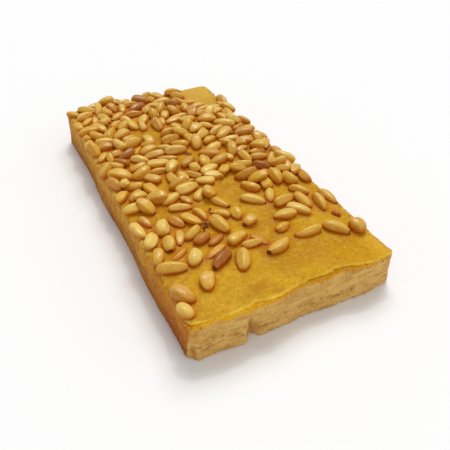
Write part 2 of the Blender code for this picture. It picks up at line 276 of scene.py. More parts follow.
# Where the skin ends at the front, along the bar: (across, along) points of its broken lip
LIP_LINE = (
    (-0.0445, -0.0889),
    (-0.0370, -0.0905),
    (-0.0320, -0.0914),
    (-0.0240, -0.0902),
    (-0.0212, -0.0906),
    (-0.0180, -0.0889),
    (-0.0138, -0.0904),
    (-0.0101, -0.0910),
    (-0.0060, -0.0899),
    (0.0020, -0.0895),
    (0.0091, -0.0887),
    (0.0154, -0.0882),
    (0.0205, -0.0875),
    (0.0240, -0.0883),
    (0.0270, -0.0889),
    (0.0300, -0.0899),
    (0.0340, -0.0904),
    (0.0473, -0.0902),
)

# The camera, in the bar's own plan, and the lights: angle in degrees and the way the light goes
CAMERA_PLACE = (-0.0818, -0.1939, 0.1532)
CAMERA_TARGET = (-0.0034, -0.0361, 0.0100)
CAMERA_LENS = 40.27
KEY_COURSE = (-0.35, -0.55, -1.0)
FILL_ANGLE = 90
FILL_COURSE = (-0.30, 0.85, -0.50)
GLINT_ANGLE = 5
GLINT_COURSE = (-0.30, -0.45, -1.0)
FLOOR_REACH = 3.0


def srgb(red, green, blue):
    """A colour given by its 0 to 255 values on a screen, as the linear values that shaders use."""
    shares = np.array((red, green, blue)) / 255.0
    linear = np.where(shares > 0.04045, ((shares + 0.055) / 1.055) ** 2.4, shares / 12.92)
    return tuple(float(value) for value in linear)


def colour_setting(name, description, *screen_values):
    """A colour that the user can change in the sidebar."""
    return FloatVectorProperty(
        name=name, description=description, subtype="COLOR", size=3, min=0.0, max=1.0,
        default=srgb(*screen_values),
    )


def length_setting(name, description, default):
    """A length that the user can change in the sidebar."""
    return FloatProperty(
        name=name, description=description, default=default, min=0.0, unit="LENGTH", precision=5,
    )


def strength_setting(name, description, default):
    """The strength of a light, which the user can change in the sidebar."""
    return FloatProperty(name=name, description=description, default=default, min=0.0)


def count_setting(name, description, default, least=0):
    """A whole number that the user can change in the sidebar."""
    return IntProperty(name=name, description=description, default=default, min=least)


class PasteSettings(PropertyGroup):
    """Sizes and colours of the almond paste under the skin."""

    step: length_setting("Mesh step", "Distance between points of the side walls", 0.00040)
    crumb: length_setting("Crumb relief", "Height of the crumbs on the cut face", 0.00011)
    pit_depth: length_setting("Pit depth", "Depth of the holes torn in the cut face", 0.00065)
    scrape: length_setting("Scrape relief", "Height of the knife marks down the sides", 0.00014)
    pale: colour_setting("Pale paste", "The cut face where it is freshest", 223, 180, 102)
    deep: colour_setting("Deep paste", "Torn and scraped parts of the paste", 202, 152, 76)
    baked: colour_setting("Baked edge", "Paste right under the baked skin", 222, 152, 5)
    sides: colour_setting("Browned sides", "The sides along the bar", 212, 152, 22)


class GlazeSettings(PropertyGroup):
    """Sizes and colours of the glazed skin."""

    step: length_setting("Mesh step", "Distance between points of the skin", 0.00058)
    relief: length_setting("Relief", "Height of the skin's fine grain", 0.00007)
    swell: length_setting("Swell", "Height of the skin's broad unevenness", 0.00022)
    collar: length_setting("Collar", "How far the glaze climbs round the foot of a nut", 0.00105)
    lip_lift: length_setting("Lip lift", "How far the broken lip curls up", 0.00028)
    gold: colour_setting("Gold", "The egg glaze where it is thin", 201, 155, 5)
    amber: colour_setting("Amber", "The egg glaze where it pooled and browned", 184, 130, 1)
    worn: colour_setting("Worn", "High spots and the thin edge of the lip", 232, 186, 44)


class NutSettings(PropertyGroup):
    """Shapes and colours of the pine nuts."""

    size: FloatProperty(name="Size", description="Size of every nut beside its own", default=1.0, min=0.5)
    sides: count_setting("Sides", "Faces round a nut", 24, 8)
    rings: count_setting("Rings", "Faces along a nut", 17, 6)
    tipped: FloatProperty(
        name="Dark tips", description="Share of nuts with a dark tip", default=0.13, min=0.0, max=1.0,
    )
    pale: colour_setting("Pale nut", "The palest kernels", 232, 196, 96)
    golden: colour_setting("Golden nut", "Most kernels", 214, 162, 48)
    toasted: colour_setting("Toasted nut", "Kernels that caught the heat", 196, 130, 40)
    brown: colour_setting("Brown nut", "The few darkest kernels", 154, 80, 10)
    tan: colour_setting("Tan nut", "Dull kernels that kept no glaze", 208, 154, 74)
    glazed: colour_setting("Glazed nut", "Kernels that the egg glaze ran over", 216, 160, 10)
    cap: colour_setting("Tip", "The dark tip on a pointed end", 112, 54, 22)


class ScrapSettings(PropertyGroup):
    """Counts and sizes of the papery flakes and the crumbs."""

    flakes: count_setting("Flakes", "Papery brown flakes between the nuts", 120)
    flake_size: length_setting("Flake size", "Length of a papery flake", 0.0017)
    crumbs: count_setting("Crumbs", "Crumbs of paste along the cut", 330)
    crumb_size: length_setting("Crumb size", "Width of a crumb", 0.00065)
    seed: count_setting("Seed", "Picks the random places", 4)
    bran: colour_setting("Papery skin", "The brown flakes", 168, 96, 40)


class StageSettings(PropertyGroup):
    """Floor and light."""

    floor: colour_setting("Floor", "The plain floor", 247, 247, 247)
    sky: strength_setting("Sky light", "Strength of the even light", 0.47)
    key: strength_setting("Key light", "Strength of the light overhead", 1.55)
    fill: strength_setting("Fill light", "Strength of the light from the front", 0.5)
    glint: strength_setting("Glint light", "Strength of the small bright light", 0.35)
    softness: FloatProperty(
        name="Softness", description="How wide the key light is", subtype="ANGLE", default=math.radians(32),
    )


def smooth(value):
    """A soft step: 0 up to 0, 1 from 1 on."""
    value = np.clip(value, 0.0, 1.0)
    return value * value * (3.0 - 2.0 * value)


def top_rise(across, along):
    """How far the glazed top stands above the nominal thickness, and below it near the right edge."""
    u = across / HALF_WIDTH
    v = along / HALF_LENGTH
    crown = TOP_CROWN * (1.0 - u * u) * (1.0 - v * v)
    wave = 0.0003 * np.sin(2.3 * u + 4.1 * v) + 0.0002 * np.sin(5.2 * u - 3.0 * v + 1.0)
    left_front_lift = 0.0009 * smooth(-u) * smooth(-v)
    right_front_droop = 0.0010 * smooth(u * 2.0 - 1.0) * smooth(-v * 2.5 - 1.2)
    return crown + wave + left_front_lift - right_front_droop


def front_cut(across, height):
    """How far the cut end stands in front of its plane at a place on the face: a foot, a notch, a chip."""
    from_left = across + HALF_WIDTH
    low = 1.0 - smooth((height - 0.5 * FOOT_HEIGHT) / (0.5 * FOOT_HEIGHT))
    foot = FOOT_REACH * low * smooth((NOTCH_FROM_LEFT - from_left) / NOTCH_REACH)
    notch = NOTCH_DEPTH * low * smooth(1.0 - np.abs(from_left - NOTCH_FROM_LEFT) / NOTCH_REACH)
    chip = CHIP_DEPTH * low * smooth(1.0 - from_left / CHIP_SIZE)
    ripple = 0.0002 * np.sin(from_left * 330.0 + 2.0 * np.sin(height * 500.0))
    return foot - notch - chip + ripple


def unit(vectors):
    """Each row scaled to length 1, or left at 0 where it has no length."""
    lengths = np.linalg.norm(vectors, axis=-1, keepdims=True)
    return np.divide(vectors, lengths, out=np.zeros_like(vectors), where=lengths > 1e-12)


def bar_points(x, y, z, edge=TOP_EDGE_RADIUS):
    """Turns points of a plain box into those of the real bar, with its top edge rounded by a radius."""
    inset = np.minimum(HALF_WIDTH - np.abs(x), HALF_LENGTH - np.abs(y))
    depth = BAR_THICKNESS - z
    beyond = np.stack([
        np.copysign(np.maximum(np.abs(x) - HALF_WIDTH + CORNER_RADIUS, 0.0), x),
        np.copysign(np.maximum(np.abs(y) - HALF_LENGTH + CORNER_RADIUS, 0.0), y),
    ], axis=-1)
    inner = np.stack([x, y], axis=-1) - beyond
    reach = np.stack([edge - inset, edge - depth], axis=-1)
    rounded = unit(reach) * reach.max(axis=-1, keepdims=True)
    at_edge = (inset < edge) & (depth < edge)
    inset = np.where(at_edge, edge - rounded[..., 0], inset)
    depth = np.where(at_edge, edge - rounded[..., 1], depth)
    outward = unit(beyond)
    place = inner + outward * (CORNER_RADIUS - inset)[..., None]
    height = BAR_THICKNESS - depth
    share = height / BAR_THICKNESS
    push = BASE_FLARE * (1.0 - share) ** 2
    push = push + SIDE_WAVE * np.sin(place[..., 1] * 95.0 + place[..., 0] * 140.0)
    at_side = 1.0 - smooth(inset / TOP_EDGE_RADIUS)
    place = place + outward * (push * at_side)[..., None]
    nearness = smooth(1.0 - (y + HALF_LENGTH) / FRONT_WIDENING_LENGTH)
    place[..., 0] += FRONT_WIDENING * nearness * np.maximum(x / HALF_WIDTH, 0.0) ** 3
    at_front = np.minimum(outward[..., 1], 0.0) ** 2
    place[..., 1] -= front_cut(place[..., 0], height) * at_side * at_front
    rise = top_rise(place[..., 0], place[..., 1]) * share ** 2
    return np.concatenate([place, (height + rise)[..., None]], axis=-1)


def cut_bar_points(x, y, z):
    """The points of the bar with a crisp top edge along its cut front end, where the knife went through."""
    from_front, from_side = y + HALF_LENGTH, HALF_WIDTH - np.abs(x)
    crisp = smooth(1.0 - from_front / 0.0045) * smooth(from_side / 0.0040)
    soft = bar_points(x, y, z)
    return soft + (bar_points(x, y, z, CUT_EDGE_RADIUS) - soft) * crisp[..., None]


def grain(points, size, octaves=3, shift=0.0):
    """Smooth noise, about -1 to 1, with bumps of a size in metres: one number, or one for each axis."""
    scaled = points / np.array(size) + shift
    return np.array([noise.fractal(Vector(point), 1.0, 2.0, octaves) for point in scaled])


def border_at(across):
    """How far forward the scatter of nuts reaches at a place across the bar."""
    return float(np.interp(across, *zip(*SCATTER_BORDER)))


def in_bare_patch(across, along, reach=1.0):
    """True where the glaze shows with no nut on it, within a reach of 1, or close to there, with more."""
    return any(
        ((across - middle_x) / half_x) ** 2 + ((along - middle_y) / half_y) ** 2 < reach ** 2
        for middle_x, middle_y, half_x, half_y in BARE_PATCHES
    )


def nut_swell(share, taper=NUT_TAPER, bluntness=NUT_BLUNTNESS):
    """How wide a pine nut is at a share of its length, from its blunt end, as a part of its full width."""
    share = np.clip(share, 0.0, 1.0)
    return np.maximum(np.sin(math.pi * share ** taper), 0.0) ** bluntness


def along_and_aside(dx, dy, heading):
    """Level steps across and along the bar, as steps along a heading and to its left."""
    cosine, sine = math.cos(heading), math.sin(heading)
    return dx * cosine + dy * sine, dy * cosine - dx * sine


class NutLayer:
    """Lays pine nuts one by one on a map of heights, each where and how it comes to rest lowest."""

    def __init__(self):
        self.xs = np.arange(-HALF_WIDTH - FRONT_WIDENING, HALF_WIDTH + FRONT_WIDENING, HEIGHT_CELL)
        self.ys = np.arange(-HALF_LENGTH - FRONT_WIDENING, HALF_LENGTH + FRONT_WIDENING, HEIGHT_CELL)
        self.heights = BAR_THICKNESS + top_rise(self.xs[:, None], self.ys[None, :])
        self.nuts = []

    def footprint(self, x, y, length, width, thickness, heading):
        """The cells under a level nut: their indices, places along it, and the nut's half thickness."""
        reach = length / 2 + HEIGHT_CELL
        columns = np.nonzero(np.abs(self.xs - x) < reach)[0]
        rows = np.nonzero(np.abs(self.ys - y) < reach)[0]
        dx, dy = np.meshgrid(self.xs[columns] - x, self.ys[rows] - y, indexing="ij")
        along, aside = along_and_aside(dx, dy, heading)
        swell = nut_swell(along / length + 0.5) * (np.abs(along) < length / 2)
        outside = np.full(dx.shape, 2.0)
        ratio = np.divide(np.abs(aside), swell * width / 2, out=outside, where=swell > 0.05)
        inside = ratio < 0.98
        half = swell * thickness / 2 * np.sqrt(np.clip(1.0 - ratio ** 2, 0.0, 1.0))
        first, second = np.nonzero(inside)
        return (columns[first], rows[second]), along[inside], half[inside]

    def rest(self, x, y, length, width, thickness, heading):
        """The lowest resting height of the nut's middle, and the pitch that gives it."""
        cells, along, half = self.footprint(x, y, length, width, thickness, heading)
        pitches = np.radians(np.arange(-PITCH_LIMIT, PITCH_LIMIT + 1, PITCH_STEP))
        needed = self.heights[cells] + half - np.outer(np.tan(pitches), along)
        rank = int(needed.shape[1] * NUT_CONTACT)
        middles = np.partition(needed, rank, axis=1)[:, rank] + 0.0002 * np.abs(pitches)
        lowest = int(np.argmin(middles))
        return float(middles[lowest]), float(pitches[lowest])

    def lay(self, x, y, length, width, thickness, heading):
        """Lays one nut and raises the map of heights under it."""
        middle, pitch = self.rest(x, y, length, width, thickness, heading)
        middle -= NUT_SINK
        cells, along, half = self.footprint(x, y, length, width, thickness, heading)
        tops = middle + along * math.tan(pitch) + half
        self.heights[cells] = np.maximum(self.heights[cells], tops)
        self.nuts.append({
            "place": (x, y, middle), "length": length, "width": width,
            "thickness": thickness, "heading": heading, "pitch": pitch,
        })

    def height_at(self, x, y):
        """The top of whatever lies at a place: a nut, or the skin."""
        column = int(np.clip(round((x - self.xs[0]) / HEIGHT_CELL), 0, len(self.xs) - 1))
        row = int(np.clip(round((y - self.ys[0]) / HEIGHT_CELL), 0, len(self.ys) - 1))
        return float(self.heights[column, row])


def nut_girth(draw, length):
    """The width and thickness of a nut of that length."""
    width = length * draw.uniform(*NUT_SLIMNESS_LIMITS)
    return width, width * draw.uniform(*NUT_FLATNESS_LIMITS)


def draw_place(draw, length, width):
    """A random place and heading for a nut, with little of it past the sides of the bar."""
    heading = draw.uniform(-math.pi, math.pi)
    reach_x = HALF_WIDTH + NUT_OVERHANG - max(abs(math.cos(heading)) * length, width) / 2
    reach_y = HALF_LENGTH + NUT_OVERHANG - max(abs(math.sin(heading)) * length, width) / 2
    return draw.uniform(-reach_x, reach_x), draw.uniform(-reach_y, reach_y), heading


@functools.lru_cache(maxsize=1)
def nut_layer():
    """All the nuts: the single ones, the scatter, which fills hollows before it heaps up, and the loose."""
    draw = random.Random(NUT_SEED)
    layer = NutLayer()
    for x, y, length, width, degrees, *_looks in SINGLE_NUTS:
        thickness = width * draw.uniform(*NUT_FLATNESS_LIMITS)
        layer.lay(x, y, length, width, thickness, math.radians(degrees))
    for number in range(NUT_COUNT + LOOSE_COUNT):
        usual, reach = (NUT_LENGTH, 1.0) if number < NUT_COUNT else (LOOSE_LENGTH, LOOSE_CLEARANCE)
        length = min(max(draw.gauss(usual, NUT_LENGTH_SPREAD), NUT_LENGTH_LIMITS[0]), NUT_LENGTH_LIMITS[1])
        width, thickness = nut_girth(draw, length)
        choices = []
        while len(choices) < TRIES_PER_NUT:
            x, y, heading = draw_place(draw, length, width)
            if y < border_at(x) or in_bare_patch(x, y, reach):
                continue
            middle, _pitch = layer.rest(x, y, length, width, thickness, heading)
            choices.append((middle - float(top_rise(x, y)), x, y, heading))
        height, x, y, heading = min(choices)
        if height + thickness / 2 < BAR_THICKNESS + HEAP_LIMIT:
            layer.lay(x, y, length, width, thickness, heading)
    return layer


def nut_turn(nut):
    """The rotation of a nut: pitched, then turned to its heading."""
    return Matrix.Rotation(nut["heading"], 4, "Z") @ Matrix.Rotation(-nut["pitch"], 4, "Y")


def put(tree, value, socket):
    """Links an output to an input, or sets the input to a value."""
    if isinstance(value, bpy.types.NodeSocket):
        tree.links.new(value, socket)
    elif socket.type == "RGBA":
        socket.default_value = (*value[:3], 1.0)
    else:
        socket.default_value = value


def add_node(tree, kind, inputs=None, **settings):
    """Adds a node with its own settings and its inputs, by name or number, and returns its outputs."""
    node = tree.nodes.new(kind)
    for name, value in settings.items():
        setattr(node, name, value)
    for key, value in (inputs or {}).items():
        put(tree, value, node.inputs[key])
    return node.outputs


class ShaderTree:
    """A short way to write a material's nodes."""

    def __init__(self, name, **shader_values):
        self.material = bpy.data.materials.new(name)
        self.material.use_nodes = True
        self.tree = self.material.node_tree
        self.shader = self.tree.nodes["Principled BSDF"]
        self.colour = (1.0, 1.0, 1.0)
        for socket, value in shader_values.items():
            self.give_shader(socket.replace("_", " "), value)

    def give_shader(self, socket, value):
        """Links or sets an input of the shader itself."""
        put(self.tree, value, self.shader.inputs[socket])

    def place(self, size):
        """The object's own coordinates over a size in metres: one number, or one for each axis."""
        scale = tuple(1.0 / (np.ones(3) * np.array(size)))
        coordinates = add_node(self.tree, "ShaderNodeTexCoord")["Object"]
        return add_node(self.tree, "ShaderNodeMapping", {"Vector": coordinates, "Scale": scale})["Vector"]

    def noise(self, size, detail=3.0, roughness=0.55, distortion=0.0):
        """Cloudy noise, 0 to 1, with patches of that size."""
        return add_node(self.tree, "ShaderNodeTexNoise", {
            "Vector": self.place(size), "Scale": 1.0, "Detail": detail, "Roughness": roughness,
            "Distortion": distortion,
        })["Fac"]

    def cells(self, size):
        """Distance to the nearest of scattered points, which lie about that size apart."""
        inputs = {"Vector": self.place(size), "Scale": 1.0}
        return add_node(self.tree, "ShaderNodeTexVoronoi", inputs)["Distance"]

    def ramp(self, value, start, end, low=0.0, high=1.0):
        """Carries a value from one span to another, softly, and holds it there."""
        spans = {"Value": value, "From Min": start, "From Max": end, "To Min": low, "To Max": high}
        return add_node(self.tree, "ShaderNodeMapRange", spans, interpolation_type="SMOOTHSTEP")["Result"]

    def mix(self, share, first, second, blend="MIX"):
        """Two colours mixed by a share."""
        node = self.tree.nodes.new("ShaderNodeMix")
        node.data_type = "RGBA"
        node.blend_type = blend
        for name, value in (("Factor_Float", share), ("A_Color", first), ("B_Color", second)):
            put(self.tree, value, next(socket for socket in node.inputs if socket.identifier == name))
        return next(socket for socket in node.outputs if socket.identifier == "Result_Color")

    def over(self, share, colour, blend="MIX"):
        """Lays a colour over the material's own, by a share."""
        self.colour = self.mix(share, self.colour, colour, blend)

    def plus(self, first, second):
        """Two numbers added."""
        return add_node(self.tree, "ShaderNodeMath", {0: first, 1: second}, operation="ADD")["Value"]

    def times(self, first, second):
        """Two numbers multiplied."""
        return add_node(self.tree, "ShaderNodeMath", {0: first, 1: second}, operation="MULTIPLY")["Value"]

    def attribute(self, name):
        """A number that the mesh carries at each point."""
        return add_node(self.tree, "ShaderNodeAttribute", attribute_name=name)["Fac"]

    def axis(self, name="Z"):
        """The place along one axis, in metres: across, along, or the height above the floor."""
        return add_node(self.tree, "ShaderNodeSeparateXYZ", {"Vector": self.place(1.0)})[name]

    def bump(self, value, depth, strength=1.0):
        """Lets the surface catch the light as if a value raised it by a depth in metres."""
        inputs = {"Strength": strength, "Distance": depth, "Height": value}
        self.give_shader("Normal", add_node(self.tree, "ShaderNodeBump", inputs)["Normal"])

    def finish(self, roughness):
        """Gives the shader its colour and roughness, and returns the material."""
        self.give_shader("Base Color", self.colour)
        self.give_shader("Roughness", roughness)
        return self.material


def paste_material(settings):
    """Baked almond paste: grainy, pale on the cut face, browner on the sides, orange under the skin.

    Painted shade darkens the sides towards the foot and the front end, the cut face just under the lip,
    and the torn holes and the cleft.
    """
    tree = ShaderTree(
        "almond_paste", Subsurface_Weight=0.06, Subsurface_Scale=0.0010, Specular_IOR_Level=0.10,
    )
    cut_face = tree.attribute("cut_face")
    cloud = tree.ramp(tree.noise((0.010, 0.010, 0.0036), 5.0, 0.6), 0.38, 0.64)
    face = tree.mix(cloud, settings.pale, settings.deep)
    side_cloud = tree.ramp(tree.noise((0.005, 0.009, 0.005), 5.0, 0.65), 0.38, 0.64)
    tree.colour = tree.mix(side_cloud, settings.sides, srgb(188, 120, 18))
    pale_patch = tree.ramp(tree.noise(0.0028, 5.0, 0.7), 0.50, 0.64, 0.0, 0.60)
    tree.over(pale_patch, srgb(224, 172, 66))
    # Painted shade: the sides turn darker and more orange towards the front end and towards the foot.
    painted_front_shade = tree.ramp(tree.axis("Y"), -0.020, -0.078, 0.0, 0.90)
    tree.over(painted_front_shade, (0.92, 0.66, 0.10), "MULTIPLY")
    near_foot = tree.ramp(tree.axis(), 0.0145, 0.0010, 0.0, 0.72)
    tree.over(near_foot, (0.52, 0.29, 0.10), "MULTIPLY")
    tree.over(cut_face, face)
    jag = tree.ramp(tree.noise((0.006, 0.006, 0.003)), 0.2, 0.8, -0.0009, 0.0009)
    under_skin = tree.ramp(tree.plus(tree.axis(), jag), BAR_THICKNESS - 0.0030, BAR_THICKNESS - 0.0018)
    under_skin = tree.times(under_skin, tree.ramp(cut_face, 0.0, 1.0, 0.2, 1.0))
    baked = tree.mix(tree.ramp(tree.axis("X"), -0.006, -0.019), settings.baked, srgb(234, 174, 8))
    tree.over(under_skin, baked)
    level = tree.attribute("level")
    # Painted shadow: a dark line across the cut face just under the skin's overhanging lip.
    lip_shadow_line = tree.ramp(level, BAR_THICKNESS - 0.0013, BAR_THICKNESS - 0.0007, 0.0, 0.75)
    tree.over(tree.times(cut_face, lip_shadow_line), srgb(158, 80, 2))
    corner = tree.ramp(tree.noise(0.0022, 4.0, 0.7), 0.40, 0.56, 0.15, 0.90)
    for name, start, end in (("X", -0.0385, -0.0430), ("Y", -0.0810, -0.0880), ("Z", 0.0085, 0.0150)):
        corner = tree.times(corner, tree.ramp(tree.axis(name), start, end))
    tree.over(corner, srgb(178, 92, 2))
    # Painted shade in the torn holes, the cleft and the side pits, and the real dark spot above the notch.
    tree.over(tree.times(tree.attribute("hollow"), 0.55), srgb(160, 98, 34))
    speckle = tree.noise(0.0011, 5.0, 0.75)
    pale_specks = tree.times(
        tree.ramp(speckle, 0.53, 0.68, 0.0, 0.55), tree.ramp(cut_face, 0.0, 1.0, 0.45, 1.0),
    )
    tree.over(pale_specks, srgb(248, 214, 134))
    dark_specks = tree.times(tree.ramp(speckle, 0.47, 0.32), tree.ramp(cut_face, 0.0, 1.0, 0.42, 0.22))
    tree.over(dark_specks, srgb(178, 114, 36))
    fine = tree.noise(0.00050, 4.0, 0.75)
    tree.bump(fine, 0.00016, 0.6)
    return tree.finish(tree.ramp(fine, 0.3, 0.7, 0.55, 0.70))


def glaze_material(settings):
    """Egg glaze baked onto the top: golden, with amber pools, fine grain, worn spots and dark specks.

    A painted sheen pales it towards the back. The darker amber round the nuts is pooled glaze with
    painted contact shade.
    """
    tree = ShaderTree(
        "egg_glaze", Subsurface_Weight=0.04, Subsurface_Scale=0.0010, Specular_IOR_Level=0.06,
        Coat_Weight=0.02, Coat_Roughness=0.22,
    )
    pools = tree.ramp(tree.noise(0.020, 4.0, 0.55, 0.4), 0.36, 0.66)
    tree.colour = tree.mix(pools, settings.gold, settings.amber)
    tree.over(tree.ramp(tree.noise(0.0050, 5.0, 0.7), 0.50, 0.70, 0.0, 0.40), settings.worn)
    tree.over(tree.ramp(tree.noise(0.0062, 5.0, 0.7), 0.50, 0.68, 0.0, 0.35), settings.amber)
    # Painted sheen: the glaze turns paler towards the back end, as if it caught the light there.
    tree.over(tree.ramp(tree.axis("Y"), 0.045, 0.085, 0.0, 0.50), srgb(228, 186, 84))
    front = tree.ramp(tree.axis("Y"), -0.066, -0.077)
    pool = tree.times(front, tree.ramp(tree.axis("X"), -0.002, 0.020, 0.0, 0.45))
    tree.over(pool, srgb(190, 130, 0))
    edge = tree.times(front, tree.ramp(tree.axis("X"), 0.035, 0.044, 0.0, 0.65))
    tree.over(edge, srgb(224, 176, 50))
    # Darker amber round the foot of each nut: pooled glaze, and painted contact shade.
    tree.over(tree.times(tree.attribute("collar"), 0.92), srgb(172, 66, 0))
    mottle = tree.noise(0.0015, 5.0, 0.68)
    tree.over(tree.ramp(mottle, 0.50, 0.72, 0.0, 0.45), settings.worn)
    tree.over(tree.ramp(mottle, 0.48, 0.30, 0.0, 0.60), srgb(168, 100, 2))
    lump = tree.ramp(tree.noise(0.0030, 4.0, 0.65), 0.44, 0.60)
    lumps = tree.mix(lump, srgb(174, 110, 10), srgb(226, 188, 100))
    tree.over(tree.times(tree.attribute("rim"), 0.80), lumps)
    lip = tree.times(tree.attribute("lip"), tree.ramp(tree.noise(0.0050, 2.0), 0.35, 0.60, 0.40, 0.85))
    lip = tree.times(lip, tree.ramp(tree.axis("X"), -0.004, 0.010, 1.0, 0.55))
    tree.over(lip, srgb(238, 198, 66))
    flecks = tree.ramp(tree.noise(0.00050, 3.0, 0.6), 0.56, 0.74, 0.0, 0.45)
    tree.over(flecks, srgb(240, 200, 84))
    specks = tree.ramp(tree.cells(0.0072), 0.030, 0.012, 0.0, 0.80)
    tree.over(specks, srgb(84, 46, 14))
    fine = tree.noise(0.0006, 4.0, 0.7)
    tree.bump(fine, 0.00009, 0.6)
    return tree.finish(tree.ramp(mottle, 0.3, 0.7, 0.55, 0.42))


def nut_material(settings):
    """Toasted kernels: each its own shade and tint, blotched, glazed at the foot, some with a dark tip.

    Painted light pales their tops; painted shade darkens their undersides, and with the glaze, their foot.
    """
    tree = ShaderTree(
        "pine_nut", Subsurface_Weight=0.16, Subsurface_Scale=0.0014, Subsurface_Radius=(1.0, 0.66, 0.30),
        Specular_IOR_Level=0.12, Coat_Roughness=0.15,
    )
    shade = tree.attribute("shade")
    tree.colour = tree.mix(tree.ramp(shade, 0.00, 0.42), settings.pale, settings.golden)
    tree.over(tree.ramp(shade, 0.42, 0.75), settings.toasted)
    tree.over(tree.ramp(shade, 0.76, 0.94), settings.brown)
    tree.over(tree.ramp(shade, 1.20, 1.40), srgb(150, 56, 14))
    tint = tree.attribute("tint")
    tree.over(tree.ramp(tint, 0.45, 0.05, 0.0, 0.70), settings.tan)
    tree.over(tree.ramp(tint, 0.60, 0.95, 0.0, 0.75), settings.glazed)
    blotch = tree.ramp(tree.noise(0.0030, 4.0, 0.6), 0.48, 0.74, 0.0, 0.40)
    tree.over(blotch, settings.toasted)
    mottle = tree.noise(0.0008, 4.0, 0.7)
    light = tree.ramp(shade, 0.95, 0.55, 0.10, 1.0)
    flecks = tree.times(tree.ramp(mottle, 0.53, 0.70, 0.0, 0.50), light)
    tree.over(flecks, settings.pale)
    tip_warmth = tree.ramp(tree.attribute("along"), 0.72, 1.00, 0.0, 0.30)
    tree.over(tip_warmth, settings.toasted)
    upward = tree.plus(tree.attribute("upward"), tree.ramp(tree.noise(0.0016), 0.3, 0.7, -0.16, 0.16))
    tree.give_shader("Coat Weight", tree.ramp(upward, -0.10, 0.55, 0.0, 0.33))
    # Painted light: the parts of a nut that face up turn paler.
    top = tree.times(tree.ramp(upward, 0.66, 1.00, 0.0, 0.24), light)
    tree.over(top, srgb(230, 198, 106))
    # Painted shade: the parts of a nut that face down turn darker and more orange.
    tree.over(tree.ramp(upward, 0.84, -0.05, 0.0, 0.95), (1.0, 0.70, 0.22), "MULTIPLY")
    # Glaze that ran down round the foot of each nut, and painted contact shade in the gaps.
    tree.over(tree.times(tree.attribute("foot"), 0.88), srgb(184, 66, 0))
    edge = tree.plus(tree.attribute("along"), tree.ramp(mottle, 0.3, 0.7, -0.012, 0.012))
    dark = tree.times(tree.attribute("capped"), tree.ramp(edge, 0.940, 0.965))
    tree.over(dark, settings.cap)
    heart = tree.times(tree.attribute("capped"), tree.ramp(edge, 0.992, 1.006, 0.0, 0.8))
    tree.over(heart, srgb(150, 112, 78))
    wrinkles = tree.times(tree.noise(0.0012, 5.0, 0.65), tree.ramp(tint, 0.25, 0.85, 0.55, 1.6))
    tree.bump(wrinkles, 0.00028, 0.8)
    return tree.finish(tree.ramp(mottle, 0.3, 0.7, 0.46, 0.34))


def flake_material(settings):
    """Papery brown skin of the kernels."""
    tree = ShaderTree("papery_skin", Specular_IOR_Level=0.08)
    patch = tree.ramp(tree.noise(0.0008, 3.0), 0.35, 0.70)
    tree.colour = tree.mix(patch, settings.bran, srgb(104, 52, 18))
    tree.bump(patch, 0.00008, 0.5)
    return tree.finish(tree.ramp(patch, 0.0, 1.0, 0.45, 0.62))


def crumb_material(settings):
    """Loose crumbs of the paste."""
    tree = ShaderTree(
        "paste_crumb", Subsurface_Weight=0.06, Subsurface_Scale=0.0010, Specular_IOR_Level=0.10,
    )
    patch = tree.ramp(tree.noise(0.0022, 4.0), 0.35, 0.68)
    tree.colour = tree.mix(patch, settings.pale, settings.deep)
    tree.bump(tree.noise(0.0003, 3.0), 0.0001, 0.6)
    return tree.finish(tree.ramp(patch, 0.0, 1.0, 0.55, 0.68))


def floor_material(settings):
    """The plain floor."""
    tree = ShaderTree("floor", Specular_IOR_Level=0.0)
    tree.colour = tuple(settings.floor)
    return tree.finish(1.0)


def smooth_mesh(name, bm):
    """The smooth mesh that a bmesh makes."""
    mesh = bpy.data.meshes.new(name)
    bm.to_mesh(mesh)
    bm.free()
    mesh.shade_smooth()
    return mesh


def plain_mesh(name, points, faces):
    """A smooth mesh object from points and faces in the bar's own plan, moved to its place in the frame."""
    mesh = bpy.data.meshes.new(name)
    placed = np.asarray(points) + BAR_MIDDLE
    mesh.from_pydata(placed.tolist(), [], faces)
    bm = bmesh.new()
    bm.from_mesh(mesh)
    bmesh.ops.recalc_face_normals(bm, faces=bm.faces[:])
    bm.to_mesh(mesh)
    bm.free()
    mesh.shade_smooth()
    obj = bpy.data.objects.new(name, mesh)
    bpy.context.scene.collection.objects.link(obj)
    return obj


def give(mesh, name, values):
    """Stores a number at each point of a mesh, for its material."""
    attribute = mesh.attributes.new(name, "FLOAT", "POINT")
    attribute.data.foreach_set("value", np.asarray(values, dtype=np.float32))


def dress(obj, material):
    """Gives a finished piece its material, its body and the solid that it stands for."""
    obj.data.materials.clear()
    obj.data.materials.append(material)
    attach(obj, "root")
    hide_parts("turron")


def rings_to_faces(rings, count):
    """Quads between closed rings of points, with a face over each end."""
    strips = np.arange(rings * count).reshape(rings, count)
    faces = [strips[0, ::-1].tolist()]
    for low, high in zip(strips, strips[1:]):
        faces += np.stack([low, np.roll(low, -1), np.roll(high, -1), high], axis=-1).tolist()
    return faces + [strips[-1].tolist()]


def outline(step):
    """Points round the plain box's plan, anticlockwise from its front left corner."""
    corners = [(-1, -1), (1, -1), (1, 1), (-1, 1)]
    points = []
    for start, end in zip(corners, corners[1:] + corners[:1]):
        start, end = (np.array(corner) * (HALF_WIDTH, HALF_LENGTH) for corner in (start, end))
        count = round(float(np.linalg.norm(end - start)) / step)
        points += [start + (end - start) * i / count for i in range(count)]
    return np.array(points)


def ring_outward(ring):
    """The level direction out of a ring of points that runs anticlockwise."""
    tangent = np.roll(ring, -1, axis=0) - np.roll(ring, 1, axis=0)
    return unit(np.stack([tangent[:, 1], -tangent[:, 0]], axis=-1))


def faces_front(outward):
    """How much a level direction points out of the cut end, 0 to 1."""
    return smooth((-outward[:, 1] - 0.35) / 0.5)


